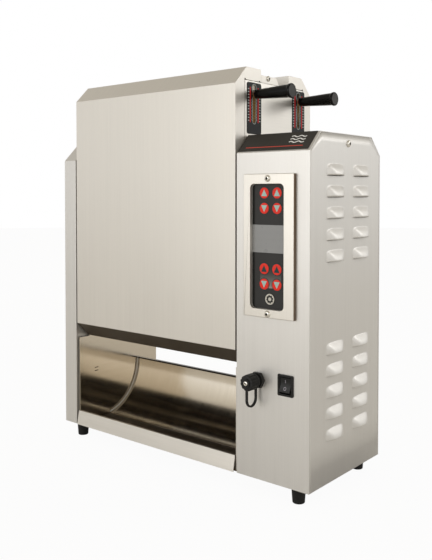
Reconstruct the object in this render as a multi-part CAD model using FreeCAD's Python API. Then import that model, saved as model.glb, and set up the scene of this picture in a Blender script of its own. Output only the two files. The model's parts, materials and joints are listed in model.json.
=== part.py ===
"""Vertical contact toaster with two conveyors, for a counter top.

Buns drop into two slots at the top, are pressed against an upright heated
platen by two belt conveyors and slide down a curved chute to the front.
All sizes are in millimetres.  +Z is up, the front faces -Y, and the origin
is the middle of the overall box on the surface that the feet stand on.
"""
import FreeCAD, Part
import math
import os

V = FreeCAD.Vector

# Overall sizes
WIDTH = 541.0            # over both end housings
DEPTH = 211.0            # front face to back face
HEIGHT = 650.0           # counter to the top of the covers
FOOT_H = 24.0            # counter to the underside of the housings
HOUSING_DROP = 106.6     # top of the covers to the top of the end housings
HOUSING_CHAMFER = 29.0   # sloped edges along the top of the end housings
LEFT_W = 31.4            # left end housing
BOX_W = 130.7            # control box at the right end
COVER_GAP = 3.1          # shadow gap beside the covers
SHEET = 1.2              # sheet of the housings and covers
PLATE = 2.0              # side plates of the toasting chamber
SPACER_W = 14.0          # square spacers between a side plate and its housing
SPACER_IN = 36.0         # underside to the lower spacers
SPACER_TOP_IN = 114.4    # shoulder of a housing to the upper spacers
SPACER_SIDE = 30.0       # front and back faces to the spacers
FIT = 0.3                # clearance between pieces that seat without touching

# Covers
FEED_OPEN = 78.2         # opening between the two covers
COVER_TOP_CHAMFER = 28.0
COVER_BOTTOM_CHAMFER = 26.0
COVER_LOW = 187.5        # lowest edge of a cover
COVER_FLANGE = 23.6      # side flange below its wide top part
COVER_LIP = 16.0         # turned-down lip at the feed opening
COVER_SLIT_DROP = 20.0   # top to the slit between the wide top flange and the side plate
EAR_W = 12.0             # inward ear at each end of the lip
EAR_DROP = 34.0
RELIEF_D = 3.4           # round relief holes at the ends of a bend or slit

# Toasting chamber
PLATEN_SHIFT = 2.5       # middle of the housing back to the middle of the platen
PLATEN_T = 19.0
PLATEN_LOW = 215.0
PLATEN_DROP = 50.0       # top of the covers to the top of the platen
PLATEN_NOSE = 22.0       # tapered top of the platen
PLATEN_END = 14.0        # platen body to side plate
BUN_GAP = 22.0           # belt to platen
LUG_W = 12.0
LUG_IN_LOW = 40.0        # ends of the platen to its lugs
LUG_IN_HIGH = 60.0
ROLLER_R = 15.0
BELT_T = 1.5
BELT_END = 15.0          # belt edge to side plate
BOTTOM_AXIS_Z = 235.0
TOP_AXIS_DROP = 67.0     # top of the covers to the idler axes
SHAFT_D = 10.0
JOURNAL_D = 8.0
RUN_FIT = 0.05           # radial clearance of a shaft in its hole
RAIL_T = 3.0
RAIL_INSET_L = 4.0       # side plate to conveyor rail, left
RAIL_INSET_R = 10.0      # side plate to conveyor rail, right, round the lever
RAIL_W = 24.0
ROLLER_END = 1.0         # roller face to rail
CROSS_BAR_W = 9.0
CROSS_BAR_IN = 65.0      # roller axis to the nearest cross bar
BACKING_T = 2.4

# Levers
LEVER_DROP = 41.5        # top of the covers to the levers at rest
FRONT_LEVER_IN = 18.8    # lip of a cover to its lever
REAR_LEVER_IN = 28.6
LEVER_SLOPE = 0.30       # belt travel for each unit of lever travel
LEVER_UP = 10.0
LEVER_DOWN = 42.0
STEM_D = 5.6
SLOT_W = 6.4
NOTCH_COUNT = 8
NOTCH_DEPTH = 1.8
KEYHOLE_D = 10.0
CAM_T = 2.5
CAM_GAP = 2.0            # cam plate to side plate
CAM_WALL = 6.0
PIN_D = 5.0
PIN_DROP = 48.5          # lever to the pin that its cam guides
GRIP_START = 3.5         # label to grip
GRIP_LENGTH = 68.5
GRIP_R_BASE = 6.6
GRIP_R_END = 8.9
GRIP_FLANGE_R = 10.6
GRIP_FLANGE_T = 5.5
COLLAR_D = 10.5
LABEL_T = 0.4
LABEL_W = 37.6
LABEL_BELOW = 62.1       # lever to the lower edge of its label
LABEL_ABOVE = 18.5
LABEL_R = 4.0

# Feed divider over the platen
DIVIDER_LOW_DROP = 44.0  # top of the covers to the divider's lower edges
DIVIDER_APEX_DROP = 16.0
DIVIDER_TAB_DROP = 8.5
DIVIDER_TAB_L = 50.6     # along the top of each side plate, from the front cover
DIVIDER_TAB_SLOPE = 9.0
DIVIDER_SCREW_R = 4.6

# Discharge
CHUTE_CENTRE_Y = 58.0
CHUTE_R = 95.2           # inside of the curve
CHUTE_FRONT_Y = 77.5
CHUTE_TOP_Z = 124.0
CHUTE_FLANGE = 9.0
CHUTE_HEM = 6.0
CHUTE_LEG_W = 18.0
TAB_SLIT_DROP = (8.0, 2.0)   # chute's back edge to the two slits of the lanced tab
TAB_SLIT_Y = 40.0
TAB_SLIT_L = 9.0
TAB_SLIT_W = 1.4
BASE_T = 2.0
PAN_LIFT = 0.2           # pan to base plate
PAN_END_Y = 166.0
PAN_BACK_H = 8.0
LIP_TOP_Z = 48.6
LIP_TOP_Y = 2.9
LIP_LOW_Y = -1.5
LIP_HEM = 5.0
LIP_END_GAP = 6.5        # lip to control box
LIP_CORNER_R = 6.0

# Control box front
BEZEL_LEFT = 114.0       # from the right side of the box
BEZEL_RIGHT = 23.1
BEZEL_DROP = 61.0        # top of the box to the bezel
BEZEL_H = 212.4
BEZEL_T = 5.5
BEZEL_R = 2.0
BEZEL_CHAMFER = 0.8
WINDOW_LEFT = 101.6
WINDOW_RIGHT = 41.2
WINDOW_DROP = 15.0       # top of the bezel to its window
WINDOW_H = 185.0
WINDOW_R = 7.0
MEMBRANE_T = 2.0
MEMBRANE_EDGE = 6.0
BOARD_T = 1.6
DISPLAY_DROP = 75.6      # top of the bezel to the display
DISPLAY_H = 41.3
KEY_D = 16.3
KEY_X = (79.8, 56.9)     # from the right side of the box
UPPER_KEY_DROP = (28.4, 51.1)
LOWER_KEY_DROP = (140.7, 163.5)
RING_KEY_X = 69.3
RING_KEY_DROP = 185.2
KEY_T = 0.6
KEY_RISE = 0.3           # key to film at rest
KEY_TRAVEL = 0.25
BEZEL_SCREW_X = 69.4
BEZEL_SCREW_DROP = (7.1, 206.4)
BEZEL_SCREW_R = 4.0
BADGE_T = 0.6
BADGE_EDGE = 4.5

# Rocker switch
ROCKER_X = 40.1          # middle, from the right side of the box
ROCKER_Z = 174.0
ROCKER_BEZEL_W = 27.0
ROCKER_BEZEL_H = 31.6
ROCKER_BEZEL_T = 2.2
ROCKER_W = 18.0
ROCKER_R = 12.0
ROCKER_FIT = 0.5
ROCKER_BODY_D = 20.0
ROCKER_PIVOT_IN = 3.0    # pivot behind the front face
ROCKER_TILT = 9.0

# Data port
PORT_X = 89.9
PORT_Z = 174.8
PORT_NUT_AC = 26.0
PORT_NUT_T = 4.5
PORT_BODY_R = 9.5
PORT_NECK_R = 7.0
CAP_R = 12.0
CAP_BACK = 12.0
CAP_FRONT = 29.5
CAP_GROOVES = 9
CAP_GROOVE_R = 1.6
RIVET_R = 3.4
RIVET_OUT = 3.2
STRAP_T = 2.8
STRAP_W = 4.0
STRAP_DROP = 38.0        # port axis to the bottom of the strap loop
EYELET_T = 1.6
EYELET_R = 9.4

# Right side cover
LOUVRE_OUT = 6.0
LOUVRE_H = 16.0
LOUVRE_L = 51.5
LOUVRE_SHIFT = (-34.9, 42.5)   # middle of the housing back to each column
LOUVRE_PITCH = 31.9
LOUVRE_ROWS = 5
LOUVRE_DROP = 61.8       # top of the box to the upper group
LOUVRE_LOW = 89.5        # lowest louvre of the lower group
COVER_SEAM = 0.4
COVER_SCREW_SHIFT = 2.6
COVER_SCREW_DROP = 14.5
COVER_SCREW_R = 5.4

# Underside and back
FOOT_X = 29.0
FOOT_Y = 17.8
FOOT_R_TOP = 11.0
FOOT_R_LOW = 9.3
GLAND_OUT = 14.0
GLAND_Z = 62.0
GLAND_AF = 24.0

# Conveyor drives inside the control box
MOTOR_W = 76.0
GEARBOX_T = 34.0
GEARBOX_H = 92.0
GEARBOX_ABOVE = 22.0     # roller shaft to the top of the gearbox
MOTOR_BELOW = 36.0       # roller shaft to the motor's axis
SHAFT_END = 20.0         # shaft inside the gearbox
MOTOR_R = 30.0
MOTOR_L = 58.0
MOTOR_FIT = 0.4

# Planes that the pieces share
X_LEFT = -(WIDTH + LOUVRE_OUT) / 2.0
X_RIGHT = X_LEFT + WIDTH
PORT_OUT = CAP_FRONT + RIVET_OUT
Y_FRONT = (PORT_OUT - DEPTH - GLAND_OUT) / 2.0
Y_BACK = Y_FRONT + DEPTH
X_HOUSING = X_LEFT + LEFT_W
X_BOX = X_RIGHT - BOX_W
X_COVER_L = X_HOUSING + COVER_GAP
X_COVER_R = X_BOX - COVER_GAP
X_IN_L = X_COVER_L + PLATE
X_IN_R = X_COVER_R - PLATE
Z_BASE = FOOT_H + BASE_T
HOUSING_H = HEIGHT - HOUSING_DROP
Z_SHOULDER = HOUSING_H - HOUSING_CHAMFER
FLANGE_TOP_GAP = 1.0
COVER_SLIT_Z = HEIGHT - COVER_SLIT_DROP
PLATEN_HIGH = HEIGHT - PLATEN_DROP
TOP_AXIS_Z = HEIGHT - TOP_AXIS_DROP
CROSS_BAR_Z = (BOTTOM_AXIS_Z + CROSS_BAR_IN, (BOTTOM_AXIS_Z + TOP_AXIS_Z) / 2.0, TOP_AXIS_Z - CROSS_BAR_IN)
LEVER_Z = HEIGHT - LEVER_DROP
PIN_Z = LEVER_Z - PIN_DROP
DIVIDER_LOW = HEIGHT - DIVIDER_LOW_DROP
DIVIDER_APEX = HEIGHT - DIVIDER_APEX_DROP
DIVIDER_HIGH = HEIGHT - DIVIDER_TAB_DROP
BEZEL_HIGH = HOUSING_H - BEZEL_DROP
BEZEL_LOW = BEZEL_HIGH - BEZEL_H
WINDOW_HIGH = BEZEL_HIGH - WINDOW_DROP
WINDOW_LOW = WINDOW_HIGH - WINDOW_H
DISPLAY_HIGH = BEZEL_HIGH - DISPLAY_DROP
DISPLAY_LOW = DISPLAY_HIGH - DISPLAY_H
LOUVRE_TOP_Z = (HOUSING_H - LOUVRE_DROP, LOUVRE_LOW + LOUVRE_PITCH * (LOUVRE_ROWS - 1))
PAN_TOP = Z_BASE + PAN_LIFT + SHEET
COVER_DEPTH = (DEPTH - FEED_OPEN) / 2.0
PLATEN_Y = DEPTH / 2.0 + PLATEN_SHIFT
FRONT_LEVER_Y = COVER_DEPTH - FRONT_LEVER_IN
REAR_LEVER_Y = DEPTH - COVER_DEPTH + REAR_LEVER_IN
DIVIDER_TAB_END = COVER_DEPTH + DIVIDER_TAB_L
LOUVRE_Y = (DEPTH / 2.0 + LOUVRE_SHIFT[0], DEPTH / 2.0 + LOUVRE_SHIFT[1])
SPACER_Z = (FOOT_H + SPACER_IN, Z_SHOULDER - SPACER_TOP_IN)


def yy(depth):
    """Place a distance behind the front face."""
    return Y_FRONT + depth


def xr(left):
    """Place a distance to the left of the right side."""
    return X_RIGHT - left


def box(x0, x1, y0, y1, z0, z1):
    return Part.makeBox(x1 - x0, y1 - y0, z1 - z0, V(x0, y0, z0))


def rod(point, axis, radius, length):
    return Part.makeCylinder(radius, length, V(*point), axis)


def prism_x(points, x0, x1):
    """Extrude a closed outline of (y, z) points from x0 to x1."""
    loop = [V(x0, y, z) for y, z in points]
    face = Part.Face(Part.makePolygon(loop + loop[:1]))
    return face.extrude(V(x1 - x0, 0, 0))


def prism_y(points, y0, y1):
    """Extrude a closed outline of (x, z) points from y0 to y1."""
    loop = [V(x, y0, z) for x, z in points]
    face = Part.Face(Part.makePolygon(loop + loop[:1]))
    return face.extrude(V(0, y1 - y0, 0))


def offset_path(points, amount):
    """Shift an open (y, z) path to its right by an amount, with mitred corners."""
    normals = []
    for (y0, z0), (y1, z1) in zip(points, points[1:]):
        length = math.hypot(y1 - y0, z1 - z0)
        normals.append(((z1 - z0) / length, -(y1 - y0) / length))
    shifted = []
    for i, (y, z) in enumerate(points):
        first = normals[max(i - 1, 0)]
        second = normals[min(i, len(normals) - 1)]
        scale = amount / (1.0 + first[0] * second[0] + first[1] * second[1])
        shifted.append((y + (first[0] + second[0]) * scale, z + (first[1] + second[1]) * scale))
    return shifted


def folded(points, thickness, x0, x1):
    """Folded sheet whose outer skin follows an open (y, z) path."""
    inner = offset_path(points, thickness)
    return prism_x(points + inner[::-1], x0, x1)


def slot_y(x0, x1, y0, y1, z0, z1, radius):
    """Plate in the XZ plane with rounded corners, from y0 to y1."""
    plate = box(x0, x1, y0, y1, z0, z1)
    corners = [e for e in plate.Edges if abs(e.Length - (y1 - y0)) < 1e-6 and e.Vertexes[0].X == e.Vertexes[1].X
               and e.Vertexes[0].Z == e.Vertexes[1].Z]
    return plate.makeFillet(radius, corners)


def mirror_y(shape):
    """Mirror from the front to the back of the housing."""
    return shape.mirror(V(0, yy(DEPTH / 2.0), 0), V(0, 1, 0))


def housing_outline(inset):
    """Chamfered (y, z) outline of an end housing, shrunk by an inset."""
    low = FOOT_H
    corner = inset * math.tan(math.radians(22.5))
    y0, y1 = yy(inset), yy(DEPTH - inset)
    shoulder = Z_SHOULDER - corner
    slope = HOUSING_CHAMFER + inset - corner
    top = HOUSING_H - inset
    return [(y0, low), (y0, shoulder), (yy(slope), top), (yy(DEPTH - slope), top), (y1, shoulder), (y1, low)]


def screw(point, axis, radius):
    """Low domed head of a screw, turned from a stepped cone, that clamps the piece behind it."""
    height = radius * 0.6
    rim = Part.makeCone(radius, radius * 0.8, height * 0.65, V(*point), axis)
    crown = Part.makeCone(radius * 0.8, radius * 0.4, height * 0.35, V(*point) + axis * (height * 0.65), axis)
    return rim.fuse(crown)


def base_frame():
    plate = box(X_LEFT + SHEET, X_RIGHT - SHEET, yy(4.0), yy(DEPTH - SHEET), FOOT_H, Z_BASE)
    for i in range(6):
        y = yy(40.0 + 24.0 * i)
        plate = plate.cut(box(X_BOX + 30.0, X_RIGHT - 30.0, y, y + 8.0, FOOT_H, Z_BASE))
    return plate


def base_slot(x0, x1):
    """Room for the base plate under a housing's inner wall."""
    return box(x0, x1, yy(SHEET), yy(DEPTH - SHEET), FOOT_H, Z_BASE)


def left_housing():
    outer = prism_x(housing_outline(0.0), X_LEFT, X_HOUSING)
    inner = prism_x(housing_outline(SHEET), X_LEFT + SHEET, X_HOUSING - SHEET)
    shell = outer.cut(inner)
    return shell.cut(base_slot(X_HOUSING - SHEET, X_HOUSING))


def control_box():
    outer = prism_x(housing_outline(0.0), X_BOX, X_RIGHT)
    inner = prism_x(housing_outline(SHEET), X_BOX + SHEET, X_RIGHT)
    shell = outer.cut(inner)
    ledge = prism_x(housing_outline(SHEET), X_RIGHT - 3.0 * SHEET, X_RIGHT - 2.0 * SHEET)
    ledge = ledge.cut(prism_x(housing_outline(SHEET + 9.0), X_RIGHT - 3.0 * SHEET, X_RIGHT - 2.0 * SHEET))
    ledge = ledge.cut(box(X_BOX, X_RIGHT, Y_FRONT, Y_BACK, FOOT_H, Z_BASE))
    shell = shell.fuse(ledge).cut(base_slot(X_BOX, X_BOX + SHEET))
    window = slot_y(xr(WINDOW_LEFT), xr(WINDOW_RIGHT), Y_FRONT, yy(SHEET), WINDOW_LOW, WINDOW_HIGH, WINDOW_R)
    shell = shell.cut(window)
    half_w = ROCKER_W / 2.0 + 2.0
    half_h = ROCKER_R + 2.0
    x = xr(ROCKER_X)
    shell = shell.cut(box(x - half_w, x + half_w, Y_FRONT, yy(SHEET), ROCKER_Z - half_h, ROCKER_Z + half_h))
    for y in (FRONT_AXIS_Y, REAR_AXIS_Y):
        shell = shell.cut(rod((X_BOX, yy(y), BOTTOM_AXIS_Z), V(1, 0, 0), SHAFT_D / 2.0 + 1.0, SHEET))
    return shell


def louvre(y, z):
    """Hooded louvre: an arched hood with bevelled ends, open along its lower edge, and its wedge-shaped hollow."""
    arch = (LOUVRE_H ** 2 + LOUVRE_OUT ** 2) / (2.0 * LOUVRE_OUT)
    centre = X_RIGHT + LOUVRE_OUT - arch
    half = LOUVRE_L / 2.0
    hood = rod((centre, yy(y) - half, z), V(0, 1, 0), arch, LOUVRE_L)
    plan = [(X_RIGHT - SHEET, half), (X_RIGHT, half), (X_RIGHT + LOUVRE_OUT * 0.6, half - LOUVRE_H * 0.16),
            (X_RIGHT + LOUVRE_OUT, half - LOUVRE_H * 0.5)]
    loop = [V(x, yy(y) + d, z) for x, d in plan] + [V(x, yy(y) - d, z) for x, d in plan[::-1]]
    hood = hood.common(Part.Face(Part.makePolygon(loop + loop[:1])).extrude(V(0, 0, LOUVRE_H)))
    face = [(half, 0.0), (half, LOUVRE_H * 0.3), (half - LOUVRE_H * 0.3, LOUVRE_H * 0.8),
            (half - LOUVRE_H * 0.8, LOUVRE_H)]
    outline = [(yy(y) + d, z + h) for d, h in face] + [(yy(y) - d, z + h) for d, h in face[::-1]]
    hood = hood.common(prism_x(outline, X_RIGHT - SHEET, X_RIGHT + LOUVRE_OUT))
    inner = half - LOUVRE_H * 0.5
    wedge = [(X_RIGHT - SHEET, z), (X_RIGHT + LOUVRE_OUT - SHEET, z), (X_RIGHT - SHEET, z + LOUVRE_H - SHEET)]
    return hood, prism_y(wedge, yy(y) - inner, yy(y) + inner)


def right_cover():
    inset = SHEET + COVER_SEAM
    panel = prism_x(housing_outline(inset), X_RIGHT - SHEET, X_RIGHT)
    panel = panel.cut(box(X_BOX, X_RIGHT + 1.0, Y_FRONT, Y_BACK, FOOT_H, FOOT_H + COVER_SEAM))
    hoods = []
    hollows = []
    for top in LOUVRE_TOP_Z:
        for row in range(LOUVRE_ROWS):
            for y in LOUVRE_Y:
                hood, hollow = louvre(y, top - LOUVRE_PITCH * row)
                hoods.append(hood)
                hollows.append(hollow)
    panel = panel.multiFuse(hoods)
    for hollow in hollows:
        panel = panel.cut(hollow)
    return panel


def lever_slot(lever_y, outward):
    """Slot with detent notches and a keyhole top, through plate and label."""
    x0 = X_IN_R - 1.0
    length = PLATE + LABEL_T + 2.0
    low = LEVER_Z - LEVER_DOWN
    high = LEVER_Z + LEVER_UP
    y = yy(lever_y)
    cut = box(x0, x0 + length, y - SLOT_W / 2.0, y + SLOT_W / 2.0, low, high)
    cut = cut.fuse(rod((x0, y, low), V(1, 0, 0), SLOT_W / 2.0, length))
    cut = cut.fuse(rod((x0, y, high), V(1, 0, 0), KEYHOLE_D / 2.0, length))
    pitch = (LEVER_DOWN - SLOT_W) / NOTCH_COUNT
    edge = y + outward * SLOT_W / 2.0
    teeth = [(y, low)]
    for i in range(NOTCH_COUNT):
        teeth.append((edge, low + pitch * i))
        teeth.append((edge + outward * NOTCH_DEPTH, low + pitch * (i + 0.5)))
    teeth += [(edge, low + pitch * NOTCH_COUNT), (y, low + pitch * NOTCH_COUNT)]
    return cut.fuse(prism_x(teeth, x0, x0 + length))


def side_plate(x0, x1, right):
    """Chamber end plate: wide beside the chute, narrow behind the cover flanges."""
    edge = COVER_FLANGE + FLANGE_TOP_GAP
    clear = COVER_LOW - 2.0
    high = COVER_SLIT_Z - FLANGE_TOP_GAP
    inner = COVER_BOTTOM_CHAMFER + 1.5
    front = LIP_TOP_Y + SHEET + 0.5
    half = [(front, Z_BASE), (front, clear), (inner, clear), (inner, COVER_LOW + 28.0), (edge, COVER_LOW + 30.0),
            (edge, high)]
    points = [(yy(y), z) for y, z in half] + [(yy(DEPTH - y), z) for y, z in half[::-1]]
    plate = prism_x(points, x0, x1)
    for y in (FRONT_AXIS_Y, REAR_AXIS_Y):
        plate = plate.cut(rod((x0, yy(y), BOTTOM_AXIS_Z), V(1, 0, 0), SHAFT_D / 2.0 + RUN_FIT, PLATE))
    gap_x = x1 if right else x0 - COVER_GAP
    half = SPACER_W / 2.0
    for y in (yy(SPACER_SIDE), yy(DEPTH - SPACER_SIDE)):
        for z in SPACER_Z:
            plate = plate.fuse(box(gap_x, gap_x + COVER_GAP, y - half, y + half, z - half, z + half))
    if right:
        plate = plate.cut(lever_slot(FRONT_LEVER_Y, 1.0))
        plate = plate.cut(lever_slot(REAR_LEVER_Y, 1.0))
        plate = plate.fuse(box(x1, x1 + 2.4, yy(front), yy(front + SHEET), 30.0, 42.0))
    else:
        for drop in TAB_SLIT_DROP:
            z = CHUTE_TOP_Z - drop
            plate = plate.cut(box(x0, x1, yy(TAB_SLIT_Y), yy(TAB_SLIT_Y) + TAB_SLIT_L, z, z + TAB_SLIT_W))
    return plate


def label(lever_y):
    plate_z0, plate_z1 = LEVER_Z - LABEL_BELOW, LEVER_Z + LABEL_ABOVE
    y = yy(lever_y)
    body = box(X_COVER_R, X_COVER_R + LABEL_T, y - LABEL_W / 2.0, y + LABEL_W / 2.0, plate_z0, plate_z1)
    corners = [e for e in body.Edges if abs(e.Length - LABEL_T) < 1e-6]
    return body.makeFillet(LABEL_R, corners).cut(lever_slot(lever_y, 1.0))


def platen():
    """Upright casting with a tapered nose and two lugs at each end."""
    half = PLATEN_T / 2.0
    y = yy(PLATEN_Y)
    outline = [(y - half, PLATEN_LOW + 6.0), (y - half, PLATEN_HIGH - PLATEN_NOSE), (y - 3.0, PLATEN_HIGH),
               (y + 3.0, PLATEN_HIGH), (y + half, PLATEN_HIGH - PLATEN_NOSE), (y + half, PLATEN_LOW + 6.0),
               (y + half - 6.0, PLATEN_LOW), (y - half + 6.0, PLATEN_LOW)]
    body = prism_x(outline, X_IN_L + PLATEN_END, X_IN_R - PLATEN_END)
    half = LUG_W / 2.0
    for z in (PLATEN_LOW + LUG_IN_LOW, PLATEN_HIGH - LUG_IN_HIGH):
        body = body.fuse(box(X_IN_L, X_IN_R, y - half, y + half, z - half, z + half))
    return body


def divider():
    """Roof over the platen that parts the bun halves, with an end tab over each side plate."""
    y = yy(PLATEN_Y)
    half = PLATEN_T / 2.0
    outline = [(y - half, DIVIDER_LOW), (y - 2.0, DIVIDER_APEX), (y + 2.0, DIVIDER_APEX), (y + half, DIVIDER_LOW)]
    inner = offset_path(outline, SHEET)
    roof = prism_x(outline + inner[::-1], X_IN_L + FIT, X_IN_R - FIT)
    low = COVER_SLIT_Z - FLANGE_TOP_GAP + FIT
    end = yy(DIVIDER_TAB_END)
    tab = [(yy(COVER_DEPTH + FIT), low), (yy(COVER_DEPTH + FIT), DIVIDER_HIGH), (end - DIVIDER_TAB_SLOPE, DIVIDER_HIGH), (end, low)]
    parts = [roof]
    for x0, x1 in ((X_COVER_L, X_IN_L), (X_IN_R, X_COVER_R)):
        parts.append(prism_x(tab, x0, x1))
    gusset = [(y - 6.0, low), (y - 2.0, DIVIDER_APEX), (y + 2.0, DIVIDER_APEX), (y + 6.0, low)]
    parts.append(prism_x(gusset, X_IN_L, X_IN_L + 4.0))
    parts.append(prism_x(gusset, X_IN_R - 4.0, X_IN_R))
    return parts[0].multiFuse(parts[1:])


def cover():
    """Front cover: one folded sheet with side flanges and a slit over each side plate."""
    chamfer = COVER_TOP_CHAMFER
    low_face = COVER_LOW + COVER_BOTTOM_CHAMFER
    path = [(COVER_BOTTOM_CHAMFER, COVER_LOW), (0.0, low_face), (0.0, HEIGHT - chamfer), (chamfer, HEIGHT),
            (COVER_DEPTH, HEIGHT), (COVER_DEPTH, HEIGHT - COVER_LIP)]
    path = [(yy(y), z) for y, z in path]
    skin = folded(path, SHEET, X_COVER_L, X_COVER_R)
    flange = [(0.0, low_face), (0.0, HEIGHT - chamfer), (chamfer, HEIGHT), (COVER_DEPTH, HEIGHT),
              (COVER_DEPTH, COVER_SLIT_Z), (COVER_FLANGE, COVER_SLIT_Z), (COVER_FLANGE, low_face),
              (COVER_BOTTOM_CHAMFER, COVER_LOW + 3.0), (COVER_BOTTOM_CHAMFER, COVER_LOW)]
    flange = [(yy(y), z) for y, z in flange]
    parts = []
    for x0 in (X_COVER_L, X_COVER_R - SHEET):
        parts.append(prism_x(flange, x0, x0 + SHEET))
    for x0 in (X_COVER_L, X_COVER_R - EAR_W):
        parts.append(box(x0, x0 + EAR_W, yy(COVER_DEPTH - SHEET), yy(COVER_DEPTH), HEIGHT - EAR_DROP, HEIGHT - 1.0))
    body = skin.multiFuse(parts)
    body = body.cut(box(X_LEFT, X_RIGHT, yy(COVER_DEPTH - SHEET) - 1.0, yy(COVER_DEPTH) + 1.0,
                        HEIGHT - EAR_DROP, COVER_SLIT_Z).cut(
                            box(X_IN_L + FIT, X_IN_R - FIT, Y_FRONT, Y_BACK, 0.0, HEIGHT)))
    for y in (COVER_FLANGE + 1.0, COVER_DEPTH - 4.0):
        body = body.cut(rod((X_COVER_L - 1.0, yy(y), COVER_SLIT_Z), V(1, 0, 0), RELIEF_D / 2.0, WIDTH))
    return body


def crumb_pan():
    """Flat pan with a raised back edge and the leaning front lip."""
    x0, x1 = X_IN_L + 0.8, X_IN_R - 0.8
    z0 = Z_BASE + PAN_LIFT
    floor = box(x0, x1, yy(4.6), yy(PAN_END_Y), z0, z0 + SHEET)
    back = box(x0, x1, yy(PAN_END_Y - SHEET), yy(PAN_END_Y), z0, z0 + PAN_BACK_H)
    lip_path = [(LIP_LOW_Y, FOOT_H), (LIP_TOP_Y, LIP_TOP_Z), (LIP_TOP_Y + LIP_HEM, LIP_TOP_Z)]
    lip = folded([(yy(y), z) for y, z in lip_path[:2]], SHEET, X_COVER_L, X_BOX - LIP_END_GAP)
    hem = folded([(yy(y), z) for y, z in lip_path], SHEET, X_IN_L + 0.8, X_IN_R - 0.8)
    floor_lip = box(X_COVER_L + 4.0, X_BOX - LIP_END_GAP - 8.0, yy(0.2), yy(4.6), z0, z0 + SHEET)
    body = lip.fuse(floor_lip)
    corner = [e for e in body.Edges if e.Length < 4.0 and e.BoundBox.ZMax < FOOT_H + 2.0
              and e.BoundBox.XMin > X_BOX - LIP_END_GAP - 1.0 and e.BoundBox.XLength < 0.01
              and e.BoundBox.YLength > 0.5]
    body = body.makeFillet(LIP_CORNER_R, corner[:1])
    return body.multiFuse([hem, floor, back])


def chute_centre_z():
    """Height of the curve's centre, with the front edge resting just above the pan."""
    outer = CHUTE_R + SHEET
    return PAN_TOP + FIT + math.sqrt(outer ** 2 - (CHUTE_FRONT_Y - CHUTE_CENTRE_Y) ** 2)


def bun_chute():
    """Rolled sheet from the back edge down to the pan, with a hemmed back flange on two legs."""
    cy = yy(CHUTE_CENTRE_Y)
    cz = chute_centre_z()
    x0, x1 = X_IN_L + 0.5, X_IN_R - 0.5
    curves = []
    for radius in (CHUTE_R, CHUTE_R + SHEET):
        front = math.asin((CHUTE_FRONT_Y - CHUTE_CENTRE_Y) / radius)
        rise = (CHUTE_TOP_Z - cz) / CHUTE_R
        back = math.pi / 2.0 + math.asin(rise)
        ends = []
        for angle in (front, (front + back) / 2.0, back):
            ends.append(V(x0, cy + radius * math.sin(angle), cz - radius * math.cos(angle)))
        curves.append(ends)
    inner = Part.Arc(*curves[0]).toShape()
    outer = Part.Arc(*curves[1]).toShape()
    front_edge = Part.makeLine(curves[0][0], curves[1][0])
    back_edge = Part.makeLine(curves[1][2], curves[0][2])
    face = Part.Face(Part.Wire(Part.__sortEdges__([inner, front_edge, outer, back_edge])))
    sheet = face.extrude(V(x1 - x0, 0, 0))
    edge = yy(CHUTE_EDGE_Y)
    flange = box(x0, x1, edge - 0.2, edge + CHUTE_FLANGE, CHUTE_TOP_Z - SHEET, CHUTE_TOP_Z)
    back = edge + CHUTE_FLANGE
    parts = [flange, box(x0, x1, back - SHEET, back, CHUTE_TOP_Z - CHUTE_HEM, CHUTE_TOP_Z)]
    for leg in (x0, x1 - CHUTE_LEG_W):
        parts.append(box(leg, leg + CHUTE_LEG_W, back - SHEET, back, PAN_TOP + FIT, CHUTE_TOP_Z))
    return sheet.multiFuse(parts)


def stadium(y, radius, x0, x1):
    """Long rounded block round both roller axes of a conveyor."""
    body = box(x0, x1, yy(y) - radius, yy(y) + radius, BOTTOM_AXIS_Z, TOP_AXIS_Z)
    for z in (BOTTOM_AXIS_Z, TOP_AXIS_Z):
        body = body.fuse(rod((x0, yy(y), z), V(1, 0, 0), radius, x1 - x0))
    return body.removeSplitter()


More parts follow.
